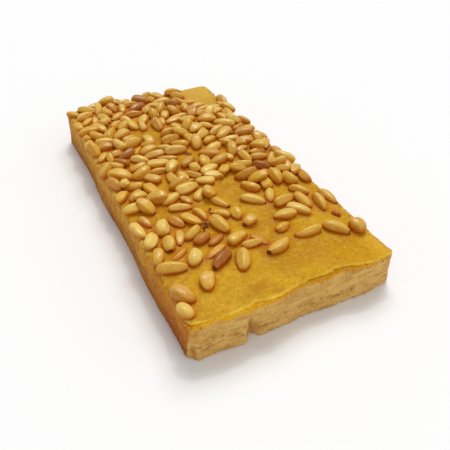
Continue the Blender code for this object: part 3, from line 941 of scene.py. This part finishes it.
def lip_at(across):
    """How far forward the skin's broken lip reaches, along the bar, at places across it."""
    line = np.interp(across, *zip(*LIP_LINE))
    points = np.stack([across, np.zeros_like(across), np.zeros_like(across)], axis=-1)
    flaked = np.abs(grain(points, 0.0040, 4, 7.0))
    return line - 0.0002 + 0.0009 * flaked + 0.00012 * grain(points, 0.0016, 2, 8.0)


def cut_relief(points, settings):
    """How far the cut face stands out at its points, and a share, 0 to 1, for the painted shade in its
    torn holes and cleft and for its real dark spot.
    """
    across, height = points[:, 0], points[:, 2]
    from_left = across + HALF_WIDTH
    crumb = settings.crumb * 0.8 * grain(points, 0.0013, 4)
    smear = settings.crumb * 0.6 * grain(points, (0.0052, 0.0052, 0.0030), 4, 3.0)
    lumps = settings.crumb * 1.6 * grain(points, 0.0040, 2, 9.0)
    ledge = settings.crumb * 1.3 * smooth(grain(points, (0.010, 0.010, 0.0042), 3, 12.0) / 0.16)
    rough = 1.0 - smooth((from_left - ROUGH_WIDTH) / 0.004)
    band = smooth(1.0 - np.abs(height / BAR_THICKNESS - PIT_BAND - 0.04 * rough) / (0.17 + 0.12 * rough))
    torn = smooth((grain(points, (0.0028, 0.0028, 0.0012), 4, 5.0) - 0.20) / 0.16) * band
    cleft_middle = NOTCH_FROM_LEFT - 0.0006 + 0.0008 * np.sin(height * 380.0 + 0.6)
    cleft_width = 0.0006 + 0.0003 * np.sin(height * 900.0)
    cleft = np.exp(-((from_left - cleft_middle) / cleft_width) ** 2) * smooth((CLEFT_TOP - height) / 0.004)
    spot = np.exp(-((from_left - cleft_middle) ** 2 + (height - SPOT_HEIGHT) ** 2) / SPOT_SIZE ** 2)
    bitten = smooth(grain(points, (0.0034, 0.0034, 0.02), 3, 2.0) * 1.5 + 0.2)
    chewed = smooth(1.0 - height / 0.0020) * bitten
    upper_half = smooth(height / BAR_THICKNESS * 4.0 - 2.0)
    evenness = (0.75 + 0.25 * rough) * (1.0 - 0.6 * upper_half * (1.0 - rough))
    near_foot = 0.3 + 0.7 * smooth(height / 0.0030)
    out = crumb + (smear + lumps * (1.0 + rough) + ledge) * evenness * near_foot
    out = out - settings.pit_depth * (1.0 - 0.4 * rough) * torn - 0.0009 * cleft - 0.0005 * chewed
    return out, np.clip(torn + 0.7 * cleft + 0.9 * spot, 0.0, 1.0)


def side_relief(points, settings):
    """How far the sides along the bar stand out at their points: knife marks, waves and a fine crumb."""
    marks = settings.scrape * grain(points, (0.0011, 0.0011, 0.009), 3, 4.0)
    waves = settings.scrape * 1.4 * grain(points, 0.011, 2, 6.0)
    crumb = settings.scrape * 0.9 * grain(points, 0.0012, 3, 8.0)
    pits = smooth((grain(points, 0.0026, 3, 1.0) - 0.34) / 0.22)
    return marks + waves + crumb - 0.00028 * pits, 0.5 * pits


def build_paste(settings):
    """The bar of paste: rings of points from its foot to under its skin, with its relief."""
    plan = outline(settings.step)
    levels = np.linspace(0.0, BAR_THICKNESS, round(BAR_THICKNESS / settings.step) + 1)
    insets = np.linspace(0.0, PASTE_TOP_INSET, 8)[1:]
    steps = [(level, 0.0) for level in levels] + [(BAR_THICKNESS, inset) for inset in insets]
    rings, cut_shares, hollows = [], [], []
    for level, inset in steps:
        shrink = 1.0 - inset / np.array([HALF_WIDTH, HALF_LENGTH])
        box = plan * shrink
        ring = cut_bar_points(box[:, 0], box[:, 1], np.full(len(box), level))
        outward = ring_outward(ring)
        cut_share = faces_front(outward)
        cut_out, cut_hollow = cut_relief(ring, settings)
        side_out, side_hollow = side_relief(ring, settings)
        fade = 1.0 - smooth(inset / 0.002)
        out = (cut_share * cut_out + (1.0 - cut_share) * side_out) * fade
        bottom_edge = 0.0005 * smooth(1.0 - level / 0.0008)
        ring[:, :2] += outward * (out - bottom_edge)[:, None]
        near_top = smooth((level - BAR_THICKNESS + 0.0040) / 0.0040)
        set_back = np.maximum(lip_at(ring[:, 0]) + HALF_LENGTH + 0.0006, 0.0)
        ring[:, 1] += set_back * cut_share * near_top * (1.0 - smooth(inset / 0.003))
        ring[:, 2] -= 0.00025 * smooth(inset / 0.001)
        rings.append(ring)
        cut_shares.append(cut_share)
        hollows.append(cut_share * cut_hollow + (1.0 - cut_share) * side_hollow)
    rings.append(rings[-1] * (0.985, 0.985, 0.0) + (0.0, 0.0, BAR_THICKNESS - PASTE_TOP_DEPTH))
    cut_shares.append(cut_shares[-1])
    hollows.append(hollows[-1])
    paste = plain_mesh("almond_paste", np.concatenate(rings), rings_to_faces(len(rings), len(plan)))
    give(paste.data, "cut_face", np.concatenate(cut_shares))
    give(paste.data, "hollow", np.concatenate(hollows))
    give(paste.data, "level", np.repeat([level for level, _inset in steps] + [BAR_THICKNESS], len(plan)))
    return paste


def collar_round_nuts(points):
    """How far the glaze climbs at points of the skin, 0 to 1, from all the nuts that touch it."""
    climb = np.zeros(len(points))
    for nut in nut_layer().nuts:
        x, y, middle = nut["place"]
        near = np.nonzero(np.hypot(points[:, 0] - x, points[:, 1] - y) < nut["length"])[0]
        along, aside = along_and_aside(points[near, 0] - x, points[near, 1] - y, nut["heading"])
        ratio = np.hypot(along / (nut["length"] / 2), aside / (nut["width"] / 2))
        gap = (ratio - 0.88) * nut["width"] / 2 * (1.0 + 0.6 * np.abs(along) / nut["length"])
        underside = middle - nut["thickness"] / 2 + along * math.tan(nut["pitch"])
        touching = 1.0 - smooth((underside - points[near, 2] - 0.0002) / 0.0012)
        climb[near] += touching * np.exp(-np.maximum(gap, 0.0) / COLLAR_REACH)
    return 1.0 - np.exp(-climb)


def glaze_rows(settings):
    """Where the skin's grid lines lie across and along the plain box, closer together at its rim."""
    lines = []
    for half in (HALF_WIDTH, HALF_LENGTH):
        inner = half - TOP_EDGE_RADIUS
        middle = np.linspace(-inner, inner, round(2 * inner / settings.step) + 1)
        rim = half - np.array([0.0, 0.25, 0.5, 0.75]) * TOP_EDGE_RADIUS
        lines.append(np.concatenate([-rim, middle, rim[::-1]]))
    return lines


def skin_points(x, y, settings):
    """The top of the skin over points of the plain box, with its relief, and what its material needs."""
    points = cut_bar_points(x, y, np.full(len(x), BAR_THICKNESS))
    flat = points * (1.0, 1.0, 0.0)
    fine = settings.relief * grain(flat, 0.0017, 4)
    broad = settings.swell * grain(flat, 0.011, 2, 5.0)
    climb = collar_round_nuts(points)
    from_front = y + HALF_LENGTH
    lip = 1.0 - smooth(from_front / (0.0016 + 0.0010 * grain(flat, 0.0050, 3, 4.0)))
    inner = smooth(np.minimum(HALF_WIDTH - np.abs(x), HALF_LENGTH - np.abs(y)) / 0.0015)
    curl = settings.lip_lift * (0.3 + grain(flat, 0.0038, 3, 11.0)) * smooth(1.0 - from_front / 0.0035)
    at_side = 1.0 - smooth((HALF_WIDTH - np.abs(x)) / 0.0030)
    ragged = EDGE_RAGGEDNESS * grain(flat, 0.0030, 3, 14.0) * at_side
    points[:, 2] += (fine + broad) * (0.3 + 0.7 * inner) + settings.collar * climb
    points[:, 2] += np.maximum(curl, 0.0)
    points[:, 2] += ragged
    points[:, 0] += ragged * np.sign(x)
    points[:, 1] += (lip_at(points[:, 0]) + HALF_LENGTH) * smooth(1.0 - from_front / LIP_LENGTH)
    return points, {"collar": climb, "lip": lip, "rim": at_side}


def hanging_edge(rim_ring):
    """Rings of points that carry the skin's rim down over the edge, then in under the skin."""
    outward = ring_outward(rim_ring)
    at_front = faces_front(outward)
    drip = 0.0006 + 0.0009 * grain(rim_ring, 0.0042, 3, 13.0)
    drip = np.maximum(drip, 0.0003) * (1.0 - 0.55 * at_front)
    reach = SIDE_DRIP_REACH * (1.0 - at_front) + FRONT_DRIP_REACH * at_front
    rings = []
    for out, down in DRIP_PROFILE:
        ring = rim_ring.copy()
        ring[:, :2] += outward * (reach * out)[:, None]
        ring[:, 2] -= drip * down
        rings.append(ring)
    rings.append(rings[-1] * (0.97, 0.97, 0.0) + (0.0, 0.0, BAR_THICKNESS - SKIN_DEPTH))
    return rings


def build_glaze(settings):
    """The glazed skin: a fine grid over the top, down over its edges, and closed underneath."""
    xs, ys = glaze_rows(settings)
    x, y = (grid.ravel() for grid in np.meshgrid(xs, ys, indexing="ij"))
    points, looks = skin_points(x, y, settings)
    index = np.arange(len(points)).reshape(len(xs), len(ys))
    faces = np.stack([index[:-1, :-1], index[1:, :-1], index[1:, 1:], index[:-1, 1:]], axis=-1)
    faces = faces.reshape(-1, 4).tolist()
    rim = np.concatenate([index[:-1, 0], index[-1, :-1], index[:0:-1, -1], index[0, :0:-1]])
    rings = hanging_edge(points[rim])
    strips = [rim] + [len(points) + len(rim) * ring + np.arange(len(rim)) for ring in range(len(rings))]
    for upper, lower in zip(strips, strips[1:]):
        faces += np.stack([upper, lower, np.roll(lower, -1), np.roll(upper, -1)], axis=-1).tolist()
    faces.append(strips[-1].tolist())
    glaze = plain_mesh("egg_glaze", np.concatenate([points, *rings]), faces)
    for name, values in looks.items():
        give(glaze.data, name, np.concatenate([values, np.tile(values[rim], len(rings))]))
    return glaze


def kernel_shape(number, settings):
    """One of the shapes of a kernel, 1 long, 1 wide and 1 thick, with its pointed end at +X."""
    draw = random.Random(KERNEL_SEED + number)
    bend_aside, bend_up = draw.uniform(-0.09, 0.09), draw.uniform(-0.04, 0.05)
    flats = [
        (math.tau / KERNEL_FLATS * (side + draw.uniform(-0.4, 0.4)), draw.uniform(0.66, 0.94))
        for side in range(KERNEL_FLATS)
    ]
    taper, bluntness = draw.uniform(0.70, 0.96), draw.uniform(0.36, 0.48)
    wrinkle = draw.choice((0.025, 0.045, 0.070))
    capped = number >= PLAIN_KERNELS
    bm = bmesh.new()
    turn = Matrix.Rotation(math.pi / 2, 4, "Y")
    bmesh.ops.create_uvsphere(
        bm, u_segments=settings.sides, v_segments=settings.rings, radius=1.0, matrix=turn
    )
    shares, places = [], []
    for vertex in bm.verts:
        angle = math.atan2(vertex.co.z, vertex.co.y)
        share = 0.5 + 0.5 * vertex.co.x
        swell = float(nut_swell(share, taper, bluntness))
        if capped and TIP_SHARE < share < POLE:
            swell = max(swell, TIP_WIDTH)
        cuts = sum((max(math.cos(angle - side), 0.0) / reach) ** FLAT_SHARPNESS for side, reach in flats)
        facet = (1.0 + cuts) ** (-1 / FLAT_SHARPNESS)
        around = Vector((math.cos(angle), math.sin(angle), number * 5.0))
        lump = 0.07 * noise.noise(around * 1.2 + Vector((0.0, 0.0, share * 3.4)))
        crease = wrinkle * noise.noise(around * 2.6 + Vector((0.0, 0.0, share * 2.0)))
        radius = swell * facet * (1.0 + lump + crease)
        if abs(vertex.co.x) > POLE:
            radius = 0.0
        dent = 0.02 if capped and share > POLE else 0.0
        shares.append(share)
        places.append((share - 0.5 - dent, radius * math.cos(angle), radius * math.sin(angle)))
    shares, places = np.array(shares), np.array(places)
    places[:, 1:] /= np.ptp(places[:, 1:], axis=0)
    bow = 4.0 * shares * (1.0 - shares) - 0.5
    places[:, 1] += bend_aside * bow
    places[:, 2] += bend_up * bow
    for vertex, place in zip(bm.verts, places):
        vertex.co = place
    bmesh.ops.recalc_face_normals(bm, faces=bm.faces[:])
    mesh = smooth_mesh(f"kernel_{number:02d}", bm)
    give(mesh, "along", shares)
    return mesh


def flake_shape(number):
    """A scrap of papery skin, 1 long: a thin curled blade with ragged edges."""
    draw = random.Random(FLAKE_SEED + number)
    curl = draw.uniform(0.2, 0.8)
    bm = bmesh.new()
    bmesh.ops.create_grid(bm, x_segments=6, y_segments=3, size=0.5)
    for vertex in bm.verts:
        u, v = vertex.co.x, vertex.co.y
        narrow = 0.80 - 0.9 * abs(u) ** 1.5 + draw.uniform(-0.10, 0.10)
        vertex.co = (u, v * narrow, curl * (v * v * 0.9 + u * u * 0.35) + draw.uniform(-0.02, 0.02))
    bmesh.ops.solidify(bm, geom=bm.faces[:], thickness=0.06)
    bmesh.ops.recalc_face_normals(bm, faces=bm.faces[:])
    return smooth_mesh(f"flake_{number:02d}", bm)


def crumb_shape(number):
    """A crumb, 1 wide: a small lump."""
    bm = bmesh.new()
    bmesh.ops.create_icosphere(bm, subdivisions=2, radius=0.5)
    for vertex in bm.verts:
        vertex.co *= 1.0 + 0.45 * noise.noise(vertex.co * 2.6 + Vector((number * 7.0, 0.0, 0.0)))
    return smooth_mesh(f"crumb_{number:02d}", bm)


def scatter_tree(name):
    """Geometry nodes that set a shape on each point by the point's own numbers, then make one mesh."""
    tree = bpy.data.node_groups.new(name, "GeometryNodeTree")
    for socket, kind in (
        ("Points", "Geometry"), ("Shapes", "Collection"), ("Size", "Float"),
        ("Size Spread", "Float"), ("Seed", "Int"), ("Material", "Material"),
    ):
        tree.interface.new_socket(socket, in_out="INPUT", socket_type=f"NodeSocket{kind}")
    tree.interface.new_socket("Mesh", in_out="OUTPUT", socket_type="NodeSocketGeometry")
    node = functools.partial(add_node, tree)
    given = node("NodeGroupInput")

    def point_number(attribute, kind):
        return node("GeometryNodeInputNamedAttribute", {"Name": attribute}, data_type=kind)["Attribute"]

    def math_node(operation, *numbers):
        return node("ShaderNodeMath", dict(enumerate(numbers)), operation=operation)["Value"]

    shapes = node("GeometryNodeCollectionInfo", {
        "Collection": given["Shapes"], "Separate Children": True, "Reset Children": True,
    })
    turn = node("FunctionNodeEulerToRotation", {"Euler": point_number("turn", "FLOAT_VECTOR")})
    spread = tree.nodes.new("FunctionNodeRandomValue")
    spread.data_type = "FLOAT"
    put(tree, given["Seed"], spread.inputs["Seed"])
    low, high = (socket for socket in spread.inputs if socket.type == "VALUE" and socket.enabled)
    put(tree, math_node("SUBTRACT", 1.0, given["Size Spread"]), low)
    put(tree, math_node("ADD", 1.0, given["Size Spread"]), high)
    drawn = next(socket for socket in spread.outputs if socket.type == "VALUE" and socket.enabled)
    scale = node("ShaderNodeVectorMath", {
        0: point_number("size", "FLOAT_VECTOR"), "Scale": math_node("MULTIPLY", given["Size"], drawn),
    }, operation="SCALE")
    on_points = node("GeometryNodeInstanceOnPoints", {
        "Points": given["Points"], "Instance": shapes["Instances"], "Pick Instance": True,
        "Instance Index": point_number("shape", "INT"), "Rotation": turn["Rotation"],
        "Scale": scale["Vector"],
    })
    made = node("GeometryNodeRealizeInstances", {"Geometry": on_points["Instances"]})
    painted = node("GeometryNodeSetMaterial", {
        "Geometry": made["Geometry"], "Material": given["Material"],
    })
    node("NodeGroupOutput", {"Mesh": painted["Geometry"]})
    return tree


def scatter(name, items, meshes, material, size=1.0, spread=0.0, seed=0):
    """One mesh of many small things, each with its place, turn, size, shape and looks."""
    helpers = bpy.data.collections.new(f"{name}_shapes")
    for mesh in meshes:
        helpers.objects.link(bpy.data.objects.new(mesh.name, mesh))
    points = bpy.data.meshes.new(f"{name}_points")
    points.from_pydata([Vector(item["place"]) + Vector(BAR_MIDDLE) for item in items], [], [])
    kinds = {"turn": "FLOAT_VECTOR", "size": "FLOAT_VECTOR", "shape": "INT"}
    for key in [key for key in items[0] if key != "place"]:
        kind = kinds.get(key, "FLOAT")
        values = np.array([item[key] for item in items]).ravel()
        target = points.attributes.new(key, kind, "POINT")
        target.data.foreach_set("vector" if kind == "FLOAT_VECTOR" else "value", values)
    source = bpy.data.objects.new(name, points)
    bpy.context.scene.collection.objects.link(source)
    tree = scatter_tree(f"{name}_scatter")
    modifier = source.modifiers.new("scatter", "NODES")
    modifier.node_group = tree
    wanted = {"Shapes": helpers, "Size": size, "Size Spread": spread, "Seed": seed, "Material": material}
    for socket in tree.interface.items_tree:
        if socket.in_out == "INPUT" and socket.name in wanted:
            modifier[socket.identifier] = wanted[socket.name]
    bpy.context.view_layer.update()
    evaluated = source.evaluated_get(bpy.context.evaluated_depsgraph_get())
    made = bpy.data.meshes.new_from_object(evaluated)
    source.modifiers.clear()
    source.data = made
    made.name = name
    bpy.data.node_groups.remove(tree)
    for helper in list(helpers.objects):
        bpy.data.objects.remove(helper)
    bpy.data.collections.remove(helpers)
    return source


def nut_looks(draw, settings):
    """Shade, tint and dark tip of a scattered nut: mostly golden, some pale, few toasted, fewer brown."""
    kind = draw.random()
    shade = min(max(draw.gauss(*USUAL_SHADE), 0.08), 0.58)
    if kind < PALE_BELOW:
        shade = draw.uniform(0.0, 0.10)
    elif kind > BROWN_ABOVE:
        shade = draw.uniform(0.82, 0.95)
    elif kind > TOASTED_ABOVE:
        shade = draw.uniform(0.58, 0.74)
    return shade, min(max(draw.gauss(*USUAL_TINT), 0.0), 1.0), draw.random() < settings.tipped


def nut_items(settings):
    """Place, turn, size, shape and looks of every nut."""
    draw = random.Random(NUT_SEED + 1)
    items = []
    for number, nut in enumerate(nut_layer().nuts):
        shade, tint, tipped = nut_looks(draw, settings)
        if number < len(SINGLE_NUTS):
            shade, tint, tipped = SINGLE_NUTS[number][5:]
        shape = draw.randrange(PLAIN_KERNELS, KERNELS) if tipped else draw.randrange(PLAIN_KERNELS)
        items.append({
            "place": nut["place"],
            "turn": tuple(nut_turn(nut).to_euler()),
            "size": (nut["length"], nut["width"], nut["thickness"]),
            "shape": shape,
            "shade": shade,
            "tint": tint,
            "capped": float(tipped),
        })
    x, y, length, width, thickness, degrees = HUSK
    items.append({
        "place": (x, y, nut_layer().height_at(x, y) + 0.3 * thickness),
        "turn": (0.0, 0.0, math.radians(degrees)),
        "size": (length, width, thickness),
        "shape": 1,
        "shade": 1.4,
        "tint": 0.5,
        "capped": 0.0,
    })
    return items


def build_nuts(settings, material):
    """The pine nuts as one mesh, with how near the skin each point is and how far up it faces.

    These shares set the painted contact shade at the foot and the painted light and shade above it.
    """
    meshes = [kernel_shape(number, settings) for number in range(KERNELS)]
    nuts = scatter("pine_nuts", nut_items(settings), meshes, material, settings.size)
    places = np.empty(len(nuts.data.vertices) * 3)
    nuts.data.vertices.foreach_get("co", places)
    places = places.reshape(-1, 3) - BAR_MIDDLE
    above = places[:, 2] - BAR_THICKNESS - top_rise(places[:, 0], places[:, 1])
    give(nuts.data, "foot", 1.0 - smooth(above / 0.0026))
    normals = np.empty(places.size)
    nuts.data.vertex_normals.foreach_get("vector", normals)
    give(nuts.data, "upward", normals.reshape(-1, 3)[:, 2])
    return nuts


def flake_items(settings):
    """Papery flakes: most in a few spots, some anywhere among the nuts."""
    draw = random.Random(settings.seed)
    layer = nut_layer()
    spots = [(x, y, spread) for x, y, spread, count in FLAKE_SPOTS for _ in range(count)]
    while len(spots) < settings.flakes:
        x = draw.uniform(-HALF_WIDTH + 0.004, HALF_WIDTH - 0.004)
        y = draw.uniform(-0.06, HALF_LENGTH - 0.004)
        if y > border_at(x) and not in_bare_patch(x, y):
            spots.append((x, y, 0.0))
    items = []
    for x, y, spread in spots:
        x, y = draw.gauss(x, spread), draw.gauss(y, spread)
        level = layer.height_at(x, y)
        if level > BAR_THICKNESS + top_rise(x, y) + FLAKE_LIMIT:
            continue
        length = settings.flake_size * draw.uniform(0.5, 1.2)
        items.append({
            "place": (x, y, level + FLAKE_LIFT),
            "turn": (draw.uniform(-0.6, 0.6), draw.uniform(-0.6, 0.6), draw.uniform(0.0, math.tau)),
            "size": (length, length, length),
            "shape": draw.randrange(FLAKE_SHAPES),
        })
    return items


def crumb_items(settings, paste):
    """Crumbs of paste: in the cut face, along its foot and below its lip, and some on the left edge."""
    draw = random.Random(settings.seed + 1)
    vertices = paste.data.vertices
    cut = paste.data.attributes["cut_face"].data
    top = BAR_THICKNESS
    picks = []
    for index in range(len(vertices)):
        height = vertices[index].co.z
        if cut[index].value > 0.8:
            under_lip = top - 0.0045 < height < top - 0.0025
            weight = FOOT_CRUMBS if height < 0.0016 else FACE_CRUMBS + LIP_CRUMBS * under_lip
        else:
            weight = EDGE_CRUMBS * (vertices[index].co.x < 0.0 and top - 0.002 < height < top)
        picks.append(weight if height > 0.0002 else 0.0)
    chosen = draw.choices(range(len(vertices)), weights=picks, k=settings.crumbs)
    items = []
    for index in chosen:
        vertex = vertices[index]
        width = settings.crumb_size * draw.uniform(0.4, 1.0) * draw.choice((1.0, 1.0, 1.0, 1.7))
        place = vertex.co + vertex.normal * width * 0.12
        items.append({
            "place": (place.x - BAR_MIDDLE[0], place.y - BAR_MIDDLE[1], max(place.z, width * 0.75)),
            "turn": tuple(draw.uniform(0.0, math.tau) for _ in range(3)),
            "size": (width, width * draw.uniform(0.6, 1.0), width * draw.uniform(0.6, 1.0)),
            "shape": draw.randrange(CRUMB_SHAPES),
        })
    return items


def strew(name, shapes, items, material, seed):
    """Scraps of a few shapes, as one finished piece."""
    dress(scatter(name, items, shapes, material, spread=SCRAP_SPREAD, seed=seed), material)


class TURRON_OT_paste(Operator):
    """Build the bar of baked almond paste"""

    bl_idname = "turron.paste"
    bl_label = "Almond Paste"

    def execute(self, context):
        settings = context.scene.turron_paste
        dress(build_paste(settings), paste_material(settings))
        return {"FINISHED"}


class TURRON_OT_glaze(Operator):
    """Build the glazed skin on the bar"""

    bl_idname = "turron.glaze"
    bl_label = "Egg Glaze"

    def execute(self, context):
        settings = context.scene.turron_glaze
        dress(build_glaze(settings), glaze_material(settings))
        return {"FINISHED"}


class TURRON_OT_nuts(Operator):
    """Lay the pine nuts on the skin"""

    bl_idname = "turron.nuts"
    bl_label = "Pine Nuts"

    def execute(self, context):
        settings = context.scene.turron_nuts
        material = nut_material(settings)
        dress(build_nuts(settings, material), material)
        return {"FINISHED"}


class TURRON_OT_flakes(Operator):
    """Strew papery flakes between the nuts"""

    bl_idname = "turron.flakes"
    bl_label = "Papery Flakes"

    def execute(self, context):
        settings = context.scene.turron_scraps
        shapes = [flake_shape(number) for number in range(FLAKE_SHAPES)]
        strew("papery_flakes", shapes, flake_items(settings), flake_material(settings), settings.seed)
        return {"FINISHED"}


class TURRON_OT_crumbs(Operator):
    """Strew crumbs along the cut"""

    bl_idname = "turron.crumbs"
    bl_label = "Crumbs"

    def execute(self, context):
        settings = context.scene.turron_scraps
        items = crumb_items(settings, context.scene.objects["almond_paste"])
        shapes = [crumb_shape(number) for number in range(CRUMB_SHAPES)]
        strew("paste_crumbs", shapes, items, crumb_material(context.scene.turron_paste), settings.seed)
        return {"FINISHED"}


class TURRON_OT_stage(Operator):
    """Set the floor, the light and the camera"""

    bl_idname = "turron.stage"
    bl_label = "Stage"

    def execute(self, context):
        settings = context.scene.turron_stage
        bm = bmesh.new()
        bmesh.ops.create_grid(bm, x_segments=4, y_segments=4, size=FLOOR_REACH)
        floor = bpy.data.objects.new("floor", smooth_mesh("floor", bm))
        floor.data.materials.append(floor_material(settings))
        world = bpy.data.worlds.new("soft_light")
        world.use_nodes = True
        background = world.node_tree.nodes["Background"]
        background.inputs["Color"].default_value = (1.0, 1.0, 1.0, 1.0)
        background.inputs["Strength"].default_value = settings.sky
        lights = []
        for name, strength, angle, course in (
            ("key", settings.key, settings.softness, KEY_COURSE),
            ("fill", settings.fill, math.radians(FILL_ANGLE), FILL_COURSE),
            ("glint", settings.glint, math.radians(GLINT_ANGLE), GLINT_COURSE),
        ):
            sun = bpy.data.lights.new(name, "SUN")
            sun.energy = strength
            sun.angle = angle
            light = bpy.data.objects.new(name, sun)
            light.rotation_euler = Vector(course).to_track_quat("-Z", "Y").to_euler()
            lights.append(light)
        lens = bpy.data.cameras.new("camera")
        lens.lens = CAMERA_LENS
        lens.clip_start = 0.01
        camera = bpy.data.objects.new("camera", lens)
        camera.location = Vector(CAMERA_PLACE) + Vector(BAR_MIDDLE)
        sight = Vector(CAMERA_TARGET) - Vector(CAMERA_PLACE)
        camera.rotation_euler = sight.to_track_quat("-Z", "Y").to_euler()
        for obj in (floor, camera, *lights):
            context.scene.collection.objects.link(obj)
        context.scene.world = world
        context.scene.camera = camera
        context.scene.view_settings.view_transform = "Standard"
        return {"FINISHED"}


class TURRON_PT_sidebar(Panel):
    """Lists the pieces of the turron"""

    bl_idname = "TURRON_PT_sidebar"
    bl_label = "Turron"
    bl_space_type = "VIEW_3D"
    bl_region_type = "UI"
    bl_category = "Turron"

    def draw(self, context):
        for operator, settings in PIECES:
            box = self.layout.box()
            box.operator(operator.bl_idname)
            group = getattr(context.scene, settings)
            for name in group.__annotations__:
                box.prop(group, name)


PIECES = (
    (TURRON_OT_paste, "turron_paste"),
    (TURRON_OT_glaze, "turron_glaze"),
    (TURRON_OT_nuts, "turron_nuts"),
    (TURRON_OT_flakes, "turron_scraps"),
    (TURRON_OT_crumbs, "turron_scraps"),
    (TURRON_OT_stage, "turron_stage"),
)

SETTINGS = {
    "turron_paste": PasteSettings,
    "turron_glaze": GlazeSettings,
    "turron_nuts": NutSettings,
    "turron_scraps": ScrapSettings,
    "turron_stage": StageSettings,
}


def register():
    for name, group in SETTINGS.items():
        bpy.utils.register_class(group)
        setattr(bpy.types.Scene, name, PointerProperty(type=group))
    for operator, _settings in PIECES:
        bpy.utils.register_class(operator)
    bpy.utils.register_class(TURRON_PT_sidebar)


def unregister():
    bpy.utils.unregister_class(TURRON_PT_sidebar)
    for operator, _settings in reversed(PIECES):
        bpy.utils.unregister_class(operator)
    for name, group in reversed(SETTINGS.items()):
        delattr(bpy.types.Scene, name)
        bpy.utils.unregister_class(group)


def main():
    register()
    bpy.ops.turron.paste()
    bpy.ops.turron.glaze()
    bpy.ops.turron.nuts()
    bpy.ops.turron.flakes()
    bpy.ops.turron.crumbs()
    bpy.ops.turron.stage()


if __name__ == "__main__":
    main()
